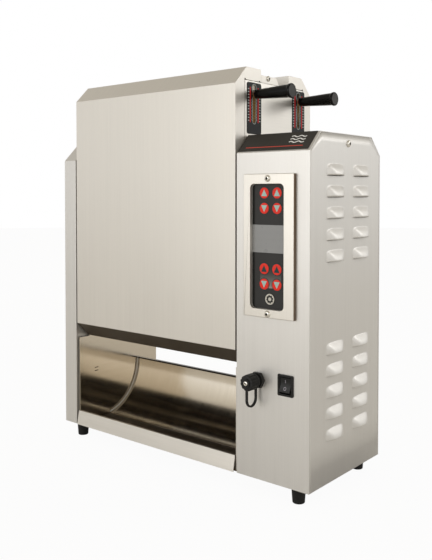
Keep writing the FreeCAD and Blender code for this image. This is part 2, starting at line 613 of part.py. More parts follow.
def conveyor_frame(axis_y, side, lever_y):
    """Two rails, cross bars, a backing plate behind the working run and the lever pin."""
    parts = []
    half = RAIL_W / 2.0
    for x0 in (RAIL_L0, RAIL_R1 - RAIL_T):
        rail = box(x0, x0 + RAIL_T, yy(axis_y) - half, yy(axis_y) + half, BOTTOM_AXIS_Z - half, TOP_AXIS_Z + half)
        rail = rail.cut(rod((x0, yy(axis_y), BOTTOM_AXIS_Z), V(1, 0, 0), SHAFT_D / 2.0 + RUN_FIT, RAIL_T))
        rail = rail.cut(rod((x0, yy(axis_y), TOP_AXIS_Z), V(1, 0, 0), JOURNAL_D / 2.0 + RUN_FIT, RAIL_T))
        parts.append(rail)
    half = CROSS_BAR_W / 2.0
    for z in CROSS_BAR_Z:
        parts.append(box(RAIL_L0 + RAIL_T, RAIL_R1 - RAIL_T, yy(axis_y) - half, yy(axis_y) + half, z - half, z + half))
    near = ROLLER_R
    y0 = yy(axis_y) + side * (near - BACKING_T)
    y1 = yy(axis_y) + side * near
    low = BOTTOM_AXIS_Z + ROLLER_R + 4.0
    high = TOP_AXIS_Z - ROLLER_R - 4.0
    parts.append(box(RAIL_L0 + RAIL_T + 4.0, RAIL_R1 - RAIL_T - 4.0, min(y0, y1), max(y0, y1), low, high))
    for z in CROSS_BAR_Z:
        y0 = yy(axis_y)
        y1 = yy(axis_y) + side * (near - BACKING_T / 2.0)
        parts.append(box(RAIL_L0 + 40.0, RAIL_R1 - 40.0, min(y0, y1), max(y0, y1), z - 1.5, z + 1.5))
    parts.append(rod((RAIL_R1, yy(lever_y), PIN_Z), V(1, 0, 0), PIN_D / 2.0, CAM_X1 - RAIL_R1))
    if abs(lever_y - axis_y) > RAIL_W / 2.0 - PIN_D:
        y0 = min(yy(lever_y), yy(axis_y)) - PIN_D
        y1 = max(yy(lever_y), yy(axis_y)) + PIN_D
        parts.append(box(RAIL_R1 - RAIL_T, RAIL_R1, y0, y1, PIN_Z - PIN_D, PIN_Z + PIN_D))
    return parts[0].multiFuse(parts[1:])


def belt(axis_y):
    outer = stadium(axis_y, ROLLER_R + FIT + BELT_T, BELT_X0, BELT_X1)
    inner = stadium(axis_y, ROLLER_R + FIT, BELT_X0, BELT_X1)
    return outer.cut(inner)


def idler_roller(axis_y):
    y = yy(axis_y)
    x0 = RAIL_L0 + RAIL_T + ROLLER_END
    x1 = RAIL_R1 - RAIL_T - ROLLER_END
    body = rod((x0, y, TOP_AXIS_Z), V(1, 0, 0), ROLLER_R, x1 - x0)
    return body.fuse(rod((RAIL_L0, y, TOP_AXIS_Z), V(1, 0, 0), JOURNAL_D / 2.0, RAIL_R1 - RAIL_L0))


def drive_roller(axis_y):
    y = yy(axis_y)
    x0 = RAIL_L0 + RAIL_T + ROLLER_END
    x1 = RAIL_R1 - RAIL_T - ROLLER_END
    body = rod((x0, y, BOTTOM_AXIS_Z), V(1, 0, 0), ROLLER_R, x1 - x0)
    start = X_COVER_L - 1.0
    shaft = rod((start, y, BOTTOM_AXIS_Z), V(1, 0, 0), SHAFT_D / 2.0, X_BOX + SHEET + SHAFT_END - start - 1.0)
    return body.fuse(shaft)


def drive_motor(axis_y):
    """Gearbox bolted to the control box wall, bored for the roller shaft, with its motor behind."""
    x0 = X_BOX + SHEET
    y = yy(axis_y)
    high = BOTTOM_AXIS_Z + GEARBOX_ABOVE
    gearbox = box(x0, x0 + GEARBOX_T, y - MOTOR_W / 2.0, y + MOTOR_W / 2.0, high - GEARBOX_H, high)
    motor = rod((x0 + GEARBOX_T, y, BOTTOM_AXIS_Z - MOTOR_BELOW), V(1, 0, 0), MOTOR_R, MOTOR_L)
    bore = rod((x0, y, BOTTOM_AXIS_Z), V(1, 0, 0), SHAFT_D / 2.0 + MOTOR_FIT, SHAFT_END + RUN_FIT + 1.0)
    return gearbox.fuse(motor).cut(bore)


def lever_cam(lever_y):
    """Cam plate with a sloping slot for the conveyor's pin, and the stem through the side plate."""
    y = yy(lever_y)
    half = SLOT_W / 2.0
    top = PIN_Z + LEVER_DOWN
    low = PIN_Z - LEVER_UP
    shift_top = -LEVER_SLOPE * LEVER_DOWN * cam_side(lever_y)
    shift_low = LEVER_SLOPE * LEVER_UP * cam_side(lever_y)
    wall = half + CAM_WALL
    left = min(shift_top, shift_low, 0.0) - wall
    right = max(shift_top, shift_low, 0.0) + wall
    high = LEVER_Z + STEM_D
    plate = box(CAM_X0, CAM_X1, y + left, y + right, low - wall, high)
    slot = prism_x([(y + shift_low - half, low), (y + shift_low + half, low), (y + shift_top + half, top),
                    (y + shift_top - half, top)], CAM_X0, CAM_X1)
    for shift, z in ((shift_low, low), (shift_top, top)):
        slot = slot.fuse(rod((CAM_X0, y + shift, z), V(1, 0, 0), half, CAM_T))
    stem = rod((CAM_X0, y, LEVER_Z), V(1, 0, 0), STEM_D / 2.0, X_COVER_R + LABEL_T + FIT - CAM_X0)
    return plate.cut(slot).fuse(stem)


def cam_side(lever_y):
    return 1.0 if lever_y < PLATEN_Y else -1.0


def grip(lever_y):
    """Tapered grip turned on the stem's axis, with a flange and a shallow domed end."""
    x0 = X_COVER_R + LABEL_T + GRIP_START
    length = GRIP_LENGTH
    flange = length - GRIP_FLANGE_T
    profile = [(0.0, 0.0), (0.0, GRIP_R_BASE), (flange, GRIP_R_END), (flange + 1.2, GRIP_FLANGE_R),
               (length - 1.0, GRIP_FLANGE_R), (length, GRIP_FLANGE_R - 1.0), (length, 0.0)]
    loop = [V(x0 + x, yy(lever_y), LEVER_Z + r) for x, r in profile]
    face = Part.Face(Part.makePolygon(loop + loop[:1]))
    return face.revolve(V(x0, yy(lever_y), LEVER_Z), V(1, 0, 0), 360.0)


def collar(lever_y):
    """Collar at the end of the stem that the grip screws on to."""
    x0 = X_COVER_R + LABEL_T + FIT
    length = GRIP_START - FIT
    y = yy(lever_y)
    return rod((x0, y, LEVER_Z), V(1, 0, 0), COLLAR_D / 2.0, length)


def keypad_bezel():
    plate = slot_y(xr(BEZEL_LEFT), xr(BEZEL_RIGHT), Y_FRONT - BEZEL_T, Y_FRONT, BEZEL_LOW, BEZEL_HIGH, BEZEL_R)
    front = [e for e in plate.Edges if abs(e.BoundBox.YMax - (Y_FRONT - BEZEL_T)) < 1e-4]
    plate = plate.makeChamfer(BEZEL_CHAMFER, front)
    window = slot_y(xr(WINDOW_LEFT), xr(WINDOW_RIGHT), Y_FRONT - BEZEL_T, Y_FRONT, WINDOW_LOW, WINDOW_HIGH,
                    WINDOW_R)
    return plate.cut(window)


def key_places():
    places = []
    for drop in UPPER_KEY_DROP + LOWER_KEY_DROP:
        for x in KEY_X:
            places.append((xr(x), BEZEL_HIGH - drop))
    places.append((xr(RING_KEY_X), BEZEL_HIGH - RING_KEY_DROP))
    return places


def keypad_membrane():
    y0 = yy(SHEET)
    edge = MEMBRANE_EDGE
    panel = box(xr(WINDOW_LEFT + edge), xr(WINDOW_RIGHT - edge), y0, y0 + MEMBRANE_T, WINDOW_LOW - edge,
                WINDOW_HIGH + edge)
    return panel.cut(box(xr(WINDOW_LEFT), xr(WINDOW_RIGHT), y0, y0 + MEMBRANE_T, DISPLAY_LOW, DISPLAY_HIGH))


def key(x, z):
    return rod((x, yy(SHEET) - KEY_RISE - KEY_T, z), V(0, 1, 0), KEY_D / 2.0, KEY_T)


def display_window():
    y0 = yy(SHEET)
    return box(xr(WINDOW_LEFT), xr(WINDOW_RIGHT), y0 + 0.2, y0 + MEMBRANE_T, DISPLAY_LOW, DISPLAY_HIGH)


def control_board():
    y0 = yy(SHEET) + MEMBRANE_T
    edge = MEMBRANE_EDGE
    return box(xr(WINDOW_LEFT + edge), xr(WINDOW_RIGHT - edge), y0, y0 + BOARD_T, WINDOW_LOW - edge,
               WINDOW_HIGH + edge)


def badge_plate():
    """Thin plate on the front slope of the control box."""
    step = BADGE_T / math.sqrt(2.0)
    low = 2.0
    a = (yy(low), Z_SHOULDER + low)
    b = (yy(HOUSING_CHAMFER), HOUSING_H)
    outline = [a, b, (b[0] - step, b[1] + step), (a[0] - step, a[1] + step)]
    return prism_x(outline, X_BOX, X_RIGHT - BADGE_EDGE)


def rocker_frame():
    x = xr(ROCKER_X)
    y0 = Y_FRONT - ROCKER_BEZEL_T
    frame = slot_y(x - ROCKER_BEZEL_W / 2.0, x + ROCKER_BEZEL_W / 2.0, y0, Y_FRONT,
                   ROCKER_Z - ROCKER_BEZEL_H / 2.0, ROCKER_Z + ROCKER_BEZEL_H / 2.0, 2.0)
    half_w = ROCKER_W / 2.0 + 2.0
    half_h = ROCKER_R + 2.0
    body = box(x - half_w, x + half_w, Y_FRONT, Y_FRONT + ROCKER_BODY_D, ROCKER_Z - half_h, ROCKER_Z + half_h)
    frame = frame.fuse(body)
    pocket_w = ROCKER_W / 2.0 + ROCKER_FIT
    pocket_h = ROCKER_R + ROCKER_FIT
    depth = ROCKER_PIVOT_IN + ROCKER_R * 0.75
    return frame.cut(box(x - pocket_w, x + pocket_w, y0, Y_FRONT + depth, ROCKER_Z - pocket_h,
                         ROCKER_Z + pocket_h))


def rocker():
    """Rocker with two sloping faces, turned to its on position, on trunnions."""
    x = xr(ROCKER_X)
    py = yy(ROCKER_PIVOT_IN)
    reach = ROCKER_R
    mid = Y_FRONT - 0.6
    end = Y_FRONT - 3.4
    outline = [(end, ROCKER_Z + reach), (mid, ROCKER_Z), (end, ROCKER_Z - reach),
               (py + 4.0, ROCKER_Z - reach), (py + 4.0, ROCKER_Z + reach)]
    body = prism_x(outline, x - ROCKER_W / 2.0, x + ROCKER_W / 2.0)
    body = body.common(rod((x - ROCKER_W / 2.0, py, ROCKER_Z), V(1, 0, 0), ROCKER_R, ROCKER_W))
    pin = rod((x - ROCKER_W / 2.0 - ROCKER_FIT + 0.05, py, ROCKER_Z), V(1, 0, 0), 1.5,
              ROCKER_W + 2.0 * ROCKER_FIT - 0.1)
    body = body.fuse(pin)
    body.rotate(V(x, py, ROCKER_Z), V(1, 0, 0), -ROCKER_TILT)
    return body


def port_body():
    """Hexagonal panel nut, threaded barrel and the narrower neck that the strap's eyelet sits on."""
    x = xr(PORT_X)
    points = []
    for i in range(6):
        angle = math.radians(60.0 * i)
        points.append((x + PORT_NUT_AC / 2.0 * math.cos(angle), PORT_Z + PORT_NUT_AC / 2.0 * math.sin(angle)))
    body = prism_y(points, Y_FRONT - PORT_NUT_T, Y_FRONT)
    barrel_end = CAP_BACK + 6.0
    body = body.fuse(rod((x, Y_FRONT - barrel_end, PORT_Z), V(0, 1, 0), PORT_BODY_R, barrel_end))
    body = body.cut(rod((x, Y_FRONT - PORT_NUT_T - EYELET_T - 0.4, PORT_Z), V(0, 1, 0), PORT_BODY_R + 1.0,
                        EYELET_T + 0.4).cut(rod((x, Y_FRONT - 20.0, PORT_Z), V(0, 1, 0), PORT_NECK_R, 20.0)))
    return body


def port_cap():
    """Ribbed cap over the barrel, with grooves round its rim."""
    x = xr(PORT_X)
    y0 = Y_FRONT - CAP_FRONT
    body = rod((x, y0, PORT_Z), V(0, 1, 0), CAP_R, CAP_FRONT - CAP_BACK)
    for i in range(CAP_GROOVES):
        angle = math.radians(360.0 / CAP_GROOVES * i)
        gx = x + (CAP_R + 0.5) * math.cos(angle)
        gz = PORT_Z + (CAP_R + 0.5) * math.sin(angle)
        body = body.cut(rod((gx, y0, gz), V(0, 1, 0), CAP_GROOVE_R, CAP_FRONT - CAP_BACK - 2.5))
    pocket = rod((x, Y_FRONT - CAP_BACK - 7.0, PORT_Z), V(0, 1, 0), PORT_BODY_R + 0.1, 7.0)
    return body.cut(pocket)


def strap_rivet():
    x = xr(PORT_X)
    y0 = Y_FRONT - PORT_OUT
    head = Part.makeCone(RIVET_R * 0.7, RIVET_R, RIVET_OUT - EYELET_T - 0.2, V(x, y0, PORT_Z), V(0, 1, 0))
    return head


def port_strap():
    """Moulded strap: an eyelet under the rivet, a hanging loop and an eyelet on the neck."""
    x = xr(PORT_X)
    front_y = Y_FRONT - CAP_FRONT - 0.2 - EYELET_T
    back_y = Y_FRONT - PORT_NUT_T - 0.2 - EYELET_T
    eye_front = rod((x, front_y, PORT_Z), V(0, 1, 0), EYELET_FRONT_R, EYELET_T)
    eye_back = rod((x, back_y, PORT_Z), V(0, 1, 0), EYELET_R + 2.4, EYELET_T)
    eye_back = eye_back.cut(rod((x, back_y, PORT_Z), V(0, 1, 0), PORT_NECK_R + 0.1, EYELET_T))
    y_a = front_y + EYELET_T
    y_b = back_y + EYELET_T
    mid = (y_a - STRAP_T + y_b) / 2.0
    outer = y_b - mid
    inner = outer - STRAP_T
    bend = PORT_Z - STRAP_DROP + outer
    tops = (PORT_Z - RIVET_R - 0.6, PORT_Z - PORT_BODY_R - 0.5)
    half = STRAP_W / 2.0
    band = rod((x - half, mid, bend), V(1, 0, 0), outer, STRAP_W)
    band = band.cut(box(x - half, x + half, mid - outer, mid + outer, bend, bend + outer))
    band = band.cut(rod((x - half, mid, bend), V(1, 0, 0), inner, STRAP_W))
    arm_a = box(x - half, x + half, mid - outer, mid - inner, bend, tops[0])
    arm_b = box(x - half, x + half, mid + inner, mid + outer, bend, tops[1])
    loop = band.multiFuse([arm_a, arm_b])
    return eye_front.multiFuse([eye_back, loop])


def cord_gland():
    x = xr(BOX_W / 2.0)
    points = []
    for i in range(6):
        angle = math.radians(60.0 * i)
        radius = GLAND_AF / math.sqrt(3.0)
        points.append((x + radius * math.cos(angle), GLAND_Z + radius * math.sin(angle)))
    nut = prism_y(points, Y_BACK, Y_BACK + GLAND_OUT * 0.4)
    dome = Part.makeCone(GLAND_AF * 0.42, GLAND_AF * 0.28, GLAND_OUT * 0.6, V(x, Y_BACK + GLAND_OUT * 0.4, GLAND_Z),
                         V(0, 1, 0))
    return nut.fuse(dome).cut(rod((x, Y_BACK + SHEET, GLAND_Z), V(0, 1, 0), GLAND_AF * 0.19, GLAND_OUT))


def foot(x, y):
    """Tapered moulded foot."""
    return Part.makeCone(FOOT_R_LOW, FOOT_R_TOP, FOOT_H, V(x, y, 0), V(0, 0, 1))


# Places worked out from the sizes above
FRONT_AXIS_Y = PLATEN_Y - PLATEN_T / 2.0 - BUN_GAP - ROLLER_R - FIT - BELT_T
REAR_AXIS_Y = PLATEN_Y + PLATEN_T / 2.0 + BUN_GAP + ROLLER_R + FIT + BELT_T
RAIL_L0 = X_IN_L + RAIL_INSET_L
RAIL_R1 = X_IN_R - RAIL_INSET_R
BELT_X0 = X_IN_L + BELT_END
BELT_X1 = X_IN_R - BELT_END - RAIL_INSET_R + RAIL_INSET_L
CAM_X1 = X_IN_R - CAM_GAP
CAM_X0 = CAM_X1 - CAM_T
CHUTE_EDGE_Y = CHUTE_CENTRE_Y + math.sqrt(CHUTE_R ** 2 - (CHUTE_TOP_Z - chute_centre_z()) ** 2)
EYELET_FRONT_R = 6.5


def build():
    nodes = {
        "base_frame": base_frame(),
        "left_housing": left_housing(),
        "control_box": control_box(),
        "right_cover": right_cover(),
        "side_plate_left": side_plate(X_COVER_L, X_IN_L, False),
        "side_plate_right": side_plate(X_IN_R, X_COVER_R, True),
        "platen": platen(),
        "feed_divider": divider(),
        "crumb_pan": crumb_pan(),
        "bun_chute": bun_chute(),
        "keypad_bezel": keypad_bezel(),
        "keypad_membrane": keypad_membrane(),
        "display_window": display_window(),
        "control_board": control_board(),
        "badge_plate": badge_plate(),
        "rocker_frame": rocker_frame(),
        "rocker": rocker(),
        "port_body": port_body(),
        "port_cap": port_cap(),
        "strap_rivet": strap_rivet(),
        "port_strap": port_strap(),
        "cord_gland": cord_gland(),
    }
    front = cover()
    nodes["front_cover"] = front
    nodes["rear_cover"] = mirror_y(front)
    for name, axis_y, lever_y, side in (("front", FRONT_AXIS_Y, FRONT_LEVER_Y, 1.0),
                                        ("rear", REAR_AXIS_Y, REAR_LEVER_Y, -1.0)):
        nodes[name + "_conveyor_frame"] = conveyor_frame(axis_y, side, lever_y)
        nodes[name + "_belt"] = belt(axis_y)
        nodes[name + "_idler_roller"] = idler_roller(axis_y)
        nodes[name + "_drive_roller"] = drive_roller(axis_y)
        nodes[name + "_drive_motor"] = drive_motor(axis_y)
        nodes[name + "_lever_cam"] = lever_cam(lever_y)
        nodes[name + "_lever_grip"] = grip(lever_y)
        nodes[name + "_lever_collar"] = collar(lever_y)
        nodes[name + "_lever_label"] = label(lever_y)
    for i, (x, z) in enumerate(key_places()):
        nodes["key_%d" % (i + 1)] = key(x, z)
    for name, x, y in (("foot_front_left", X_LEFT + FOOT_X, yy(FOOT_Y)),
                       ("foot_front_right", X_RIGHT - FOOT_X, yy(FOOT_Y)),
                       ("foot_rear_left", X_LEFT + FOOT_X, yy(DEPTH - FOOT_Y)),
                       ("foot_rear_right", X_RIGHT - FOOT_X, yy(DEPTH - FOOT_Y))):
        nodes[name] = foot(x, y)
    bezel_screws = [screw((xr(BEZEL_SCREW_X), Y_FRONT - BEZEL_T, BEZEL_HIGH - drop), V(0, -1, 0), BEZEL_SCREW_R)
                    for drop in BEZEL_SCREW_DROP]
    nodes["bezel_screws"] = Part.makeCompound(bezel_screws)
    nodes["cover_screw"] = screw((X_RIGHT, yy(DEPTH / 2.0 + COVER_SCREW_SHIFT), HOUSING_H - COVER_SCREW_DROP), V(1, 0, 0),
                                 COVER_SCREW_R)
    tab_y = yy((COVER_DEPTH + DIVIDER_TAB_END - DIVIDER_TAB_SLOPE) / 2.0)
    tab_z = (COVER_SLIT_Z + DIVIDER_HIGH) / 2.0
    nodes["divider_screws"] = Part.makeCompound([screw((X_COVER_R, tab_y, tab_z), V(1, 0, 0), DIVIDER_SCREW_R),
                                                 screw((X_COVER_L, tab_y, tab_z), V(-1, 0, 0), DIVIDER_SCREW_R)])
    return nodes


os.makedirs("parts", exist_ok=True)
for name, shape in build().items():
    shape.exportStep("parts/" + name + ".step")
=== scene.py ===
"""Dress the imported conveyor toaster: sheet-metal skins, printed keypad and labels, levers, port and a studio."""

import json
import math

import bmesh
import bpy
import numpy as np
from mathutils import Matrix, Vector

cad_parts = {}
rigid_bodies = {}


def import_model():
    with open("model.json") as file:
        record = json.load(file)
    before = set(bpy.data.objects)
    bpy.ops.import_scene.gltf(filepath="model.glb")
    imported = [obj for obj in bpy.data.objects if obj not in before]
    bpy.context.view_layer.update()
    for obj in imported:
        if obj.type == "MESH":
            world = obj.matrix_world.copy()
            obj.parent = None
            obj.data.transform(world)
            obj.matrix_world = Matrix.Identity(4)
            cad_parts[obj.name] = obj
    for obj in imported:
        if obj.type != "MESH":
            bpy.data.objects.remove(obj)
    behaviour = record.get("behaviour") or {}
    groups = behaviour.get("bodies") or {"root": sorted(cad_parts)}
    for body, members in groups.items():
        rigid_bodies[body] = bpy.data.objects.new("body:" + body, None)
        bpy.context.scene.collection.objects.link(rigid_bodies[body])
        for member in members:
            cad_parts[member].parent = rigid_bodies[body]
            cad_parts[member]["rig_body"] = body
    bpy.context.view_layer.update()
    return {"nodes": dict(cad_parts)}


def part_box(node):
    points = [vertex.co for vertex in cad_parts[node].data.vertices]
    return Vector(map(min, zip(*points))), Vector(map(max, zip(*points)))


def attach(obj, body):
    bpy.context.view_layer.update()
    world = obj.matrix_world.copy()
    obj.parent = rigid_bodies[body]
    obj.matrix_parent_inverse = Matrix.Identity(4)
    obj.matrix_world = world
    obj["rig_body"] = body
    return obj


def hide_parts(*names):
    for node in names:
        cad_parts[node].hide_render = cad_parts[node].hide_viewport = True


bl_info = {
    "name": "Conveyor Toaster Dresser",
    "version": (1, 0, 0),
    "blender": (4, 5, 0),
    "location": "View3D > Sidebar > Toaster",
    "description": "Builds the visible skins, prints and finishes of a vertical conveyor toaster round its CAD frame",
    "category": "Object",
}

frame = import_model()

MM = 0.001
IMAGE_W = 432
IMAGE_H = 560


def low(node):
    return np.array(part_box(node)[0])


def high(node):
    return np.array(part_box(node)[1])


def middle(node):
    return (low(node) + high(node)) / 2.0


def half_width(node):
    return (high(node)[0] - low(node)[0]) / 2.0


# Meshes worked out as arrays


def grid_faces(rows, cols, wrap_rows=False, wrap_cols=False):
    """Quads between neighbouring points of a rows by cols grid, wrapped round where asked."""
    index = np.arange(rows * cols).reshape(rows, cols)
    if wrap_rows:
        index = np.vstack([index, index[:1]])
    if wrap_cols:
        index = np.hstack([index, index[:, :1]])
    quads = np.stack([index[:-1, :-1], index[1:, :-1], index[1:, 1:], index[:-1, 1:]], axis=-1)
    return quads.reshape(-1, 4)


def mesh_piece(name, points, faces, finish, body, slot, replaces=(), sharp=35.0, smooth=True):
    """Make one piece from an array of points and a list of faces, and let it ride on a body."""
    mesh = bpy.data.meshes.new(name)
    mesh.from_pydata(np.asarray(points, float).reshape(-1, 3).tolist(), [], [list(map(int, f)) for f in faces])
    work = bmesh.new()
    work.from_mesh(mesh)
    bmesh.ops.remove_doubles(work, verts=work.verts, dist=2e-6)
    bmesh.ops.dissolve_degenerate(work, edges=work.edges, dist=1e-6)
    bmesh.ops.recalc_face_normals(work, faces=work.faces)
    work.to_mesh(mesh)
    work.free()
    mesh.polygons.foreach_set("use_smooth", [smooth] * len(mesh.polygons))
    if smooth:
        mesh.set_sharp_from_angle(angle=math.radians(sharp))
    mesh.materials.append(finish)
    return place(linked(name, mesh), body, slot, replaces)


def linked(name, data):
    """New object of some data, put into the scene."""
    obj = bpy.data.objects.new(name, data)
    bpy.context.scene.collection.objects.link(obj)
    return obj


def place(obj, body, slot, replaces=()):
    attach(obj, body)
    if replaces:
        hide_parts(*replaces)
    return obj


class Shape:
    """Points and faces gathered from several surfaces, for one piece."""

    def __init__(self):
        self.points = []
        self.faces = []
        self.count = 0

    def add(self, points, faces):
        points = np.asarray(points, float).reshape(-1, 3)
        self.points.append(points)
        self.faces += [[int(i) + self.count for i in face] for face in faces]
        self.count += len(points)
        return self

    def turn(self, *values):
        return self.add(*turned(*values))

    def carry(self, *values, **more):
        return self.add(*carried(*values, **more))

    def press(self, *values):
        return self.add(*pressed(*values))

    def build(self, name, finish, body, slot, replaces=(), sharp=35.0, smooth=True):
        return mesh_piece(name, np.vstack(self.points), self.faces, finish, body, slot, replaces, sharp, smooth)


def basis(axis):
    """Two unit vectors across an axis, right-handed with it."""
    axis = np.asarray(axis, float)
    helper = np.array([0.0, 0.0, 1.0]) if abs(axis[2]) < 0.9 else np.array([0.0, 1.0, 0.0])
    side = np.cross(helper, axis)
    side /= np.linalg.norm(side)
    return side, np.cross(axis, side)


def turned(profile, origin, axis, segments=48, ribs=None):
    """Surface of revolution: point(s, a) = origin + along(s) axis + radius(s, a) (cos a side + sin a up).
    ribs(row, angles) gives the factor on the radius, so a rim can be fluted."""
    profile = np.asarray(profile, float)
    axis = np.asarray(axis, float)
    side, up = basis(axis)
    angles = np.linspace(0.0, 2.0 * np.pi, segments, endpoint=False)
    radius = np.repeat(profile[:, 1:2], segments, axis=1)
    if ribs is not None:
        radius = radius * ribs(np.arange(len(profile))[:, None], angles[None, :])
    ring = np.cos(angles)[:, None] * side + np.sin(angles)[:, None] * up
    points = (np.asarray(origin, float) + profile[:, 0][:, None, None] * axis
              + radius[:, :, None] * ring[None, :, :])
    return points, grid_faces(len(profile), segments, wrap_cols=True)


def carried(path, section, normal, closed=False):
    """Section of (side, normal) offsets carried along a plane path with mitred corners:
    point(i, k) = path(i) + side(k) mitre(i) + lift(k) normal.  Ends are capped."""
    path = np.asarray(path, float)
    section = np.asarray(section, float)
    normal = np.asarray(normal, float)
    ahead = np.roll(path, -1, axis=0) - path
    if not closed:
        ahead[-1] = ahead[-2]
    ahead /= np.linalg.norm(ahead, axis=1)[:, None]
    behind = np.roll(ahead, 1, axis=0)
    if not closed:
        behind[0] = ahead[0]
    side_a = np.cross(behind, normal)
    side_b = np.cross(ahead, normal)
    mitre = side_a + side_b
    mitre /= (1.0 + np.sum(side_a * side_b, axis=1))[:, None]
    points = (path[:, None, :] + mitre[:, None, :] * section[None, :, 0, None]
              + normal[None, None, :] * section[None, :, 1, None])
    rows, cols = len(path), len(section)
    faces = [list(face) for face in grid_faces(rows, cols, wrap_rows=closed, wrap_cols=True)]
    if not closed:
        faces.append(list(range(cols))[::-1])
        faces.append([(rows - 1) * cols + i for i in range(cols)])
    return points, faces


def pressed(outline, steps, normal):
    """Plate pressed from a closed outline: row k is the outline scaled by steps[k][0] about its middle
    and lifted by steps[k][1] along the normal."""
    outline = np.asarray(outline, float)
    normal = np.asarray(normal, float)
    centre = outline.mean(axis=0)
    steps = np.asarray(steps, float)
    points = (centre + (outline - centre)[None, :, :] * steps[:, 0, None, None]
              + normal[None, None, :] * steps[:, 1, None, None])
    rows, cols = len(steps), len(outline)
    faces = [list(face) for face in grid_faces(rows, cols, wrap_cols=True)]
    if steps[0, 0] > 0.0:
        faces.append(list(range(cols)))
    if steps[-1, 0] > 0.0:
        faces.append([(rows - 1) * cols + i for i in range(cols)][::-1])
    return points, faces


def rectangle(width, height):
    """Corners of a rectangular section, for a carried strip that stands on its path's plane."""
    half = width / 2.0
    return [(-half, 0.0), (half, 0.0), (half, height), (-half, height)]


def arc_between(start, corner, end, t):
    """Quadratic arc from start to end, drawn toward the corner."""
    return (1 - t) ** 2 * start + 2 * t * (1 - t) * corner + t ** 2 * end


def rounded(corners, radius, steps=4):
    """Closed outline whose corners are arcs: each corner is cut back by radius and bridged by a quadratic arc."""
    corners = np.asarray(corners, float)
    before = np.roll(corners, 1, axis=0) - corners
    after = np.roll(corners, -1, axis=0) - corners
    start = corners + before / np.linalg.norm(before, axis=1)[:, None] * radius
    end = corners + after / np.linalg.norm(after, axis=1)[:, None] * radius
    t = np.linspace(0.0, 1.0, steps + 1)[None, :, None]
    arc = arc_between(start[:, None, :], corners[:, None, :], end[:, None, :], t)
    return arc.reshape(-1, corners.shape[1])


def softened(node, name, finish, slot, width, segments=2, angle=30.0):
    """Copy of a sheet-metal solid with its loose triangles joined and its edges rolled over by a bevel."""
    source = frame["nodes"][node]
    mesh = source.data.copy()
    work = bmesh.new()
    work.from_mesh(mesh)
    bmesh.ops.remove_doubles(work, verts=work.verts, dist=1e-6)
    bmesh.ops.dissolve_limit(work, angle_limit=math.radians(0.5), verts=work.verts, edges=work.edges)
    work.to_mesh(mesh)
    work.free()
    mesh.polygons.foreach_set("use_smooth", [True] * len(mesh.polygons))
    mesh.materials.clear()
    mesh.materials.append(finish)
    obj = linked(name, mesh)
    bevel = obj.modifiers.new("rolled_edges", "BEVEL")
    bevel.width = width
    bevel.segments = segments
    bevel.limit_method = "ANGLE"
    bevel.angle_limit = math.radians(angle)
    bevel.use_clamp_overlap = True
    even = obj.modifiers.new("even_faces", "WEIGHTED_NORMAL")
    even.weight = 100
    even.mode = "FACE_AREA"
    return place(obj, source["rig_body"], slot, (node,))


# Finishes


class Value:
    """A socket of a node tree.  An expression on values adds the Math nodes that work it out."""

    def __init__(self, tree, socket):
        self.tree = tree
        self.socket = socket

    def __add__(self, other):
        return self.tree.math("ADD", self, other)

    __radd__ = __add__

    def __sub__(self, other):
        return self.tree.math("SUBTRACT", self, other)

    def __rsub__(self, other):
        return self.tree.math("SUBTRACT", other, self)

    def __mul__(self, other):
        return self.tree.math("MULTIPLY", self, other)

    __rmul__ = __mul__

    def __truediv__(self, other):
        return self.tree.math("DIVIDE", self, other)

    def __gt__(self, other):
        return self.tree.math("GREATER_THAN", self, other)

    def __lt__(self, other):
        return self.tree.math("LESS_THAN", self, other)


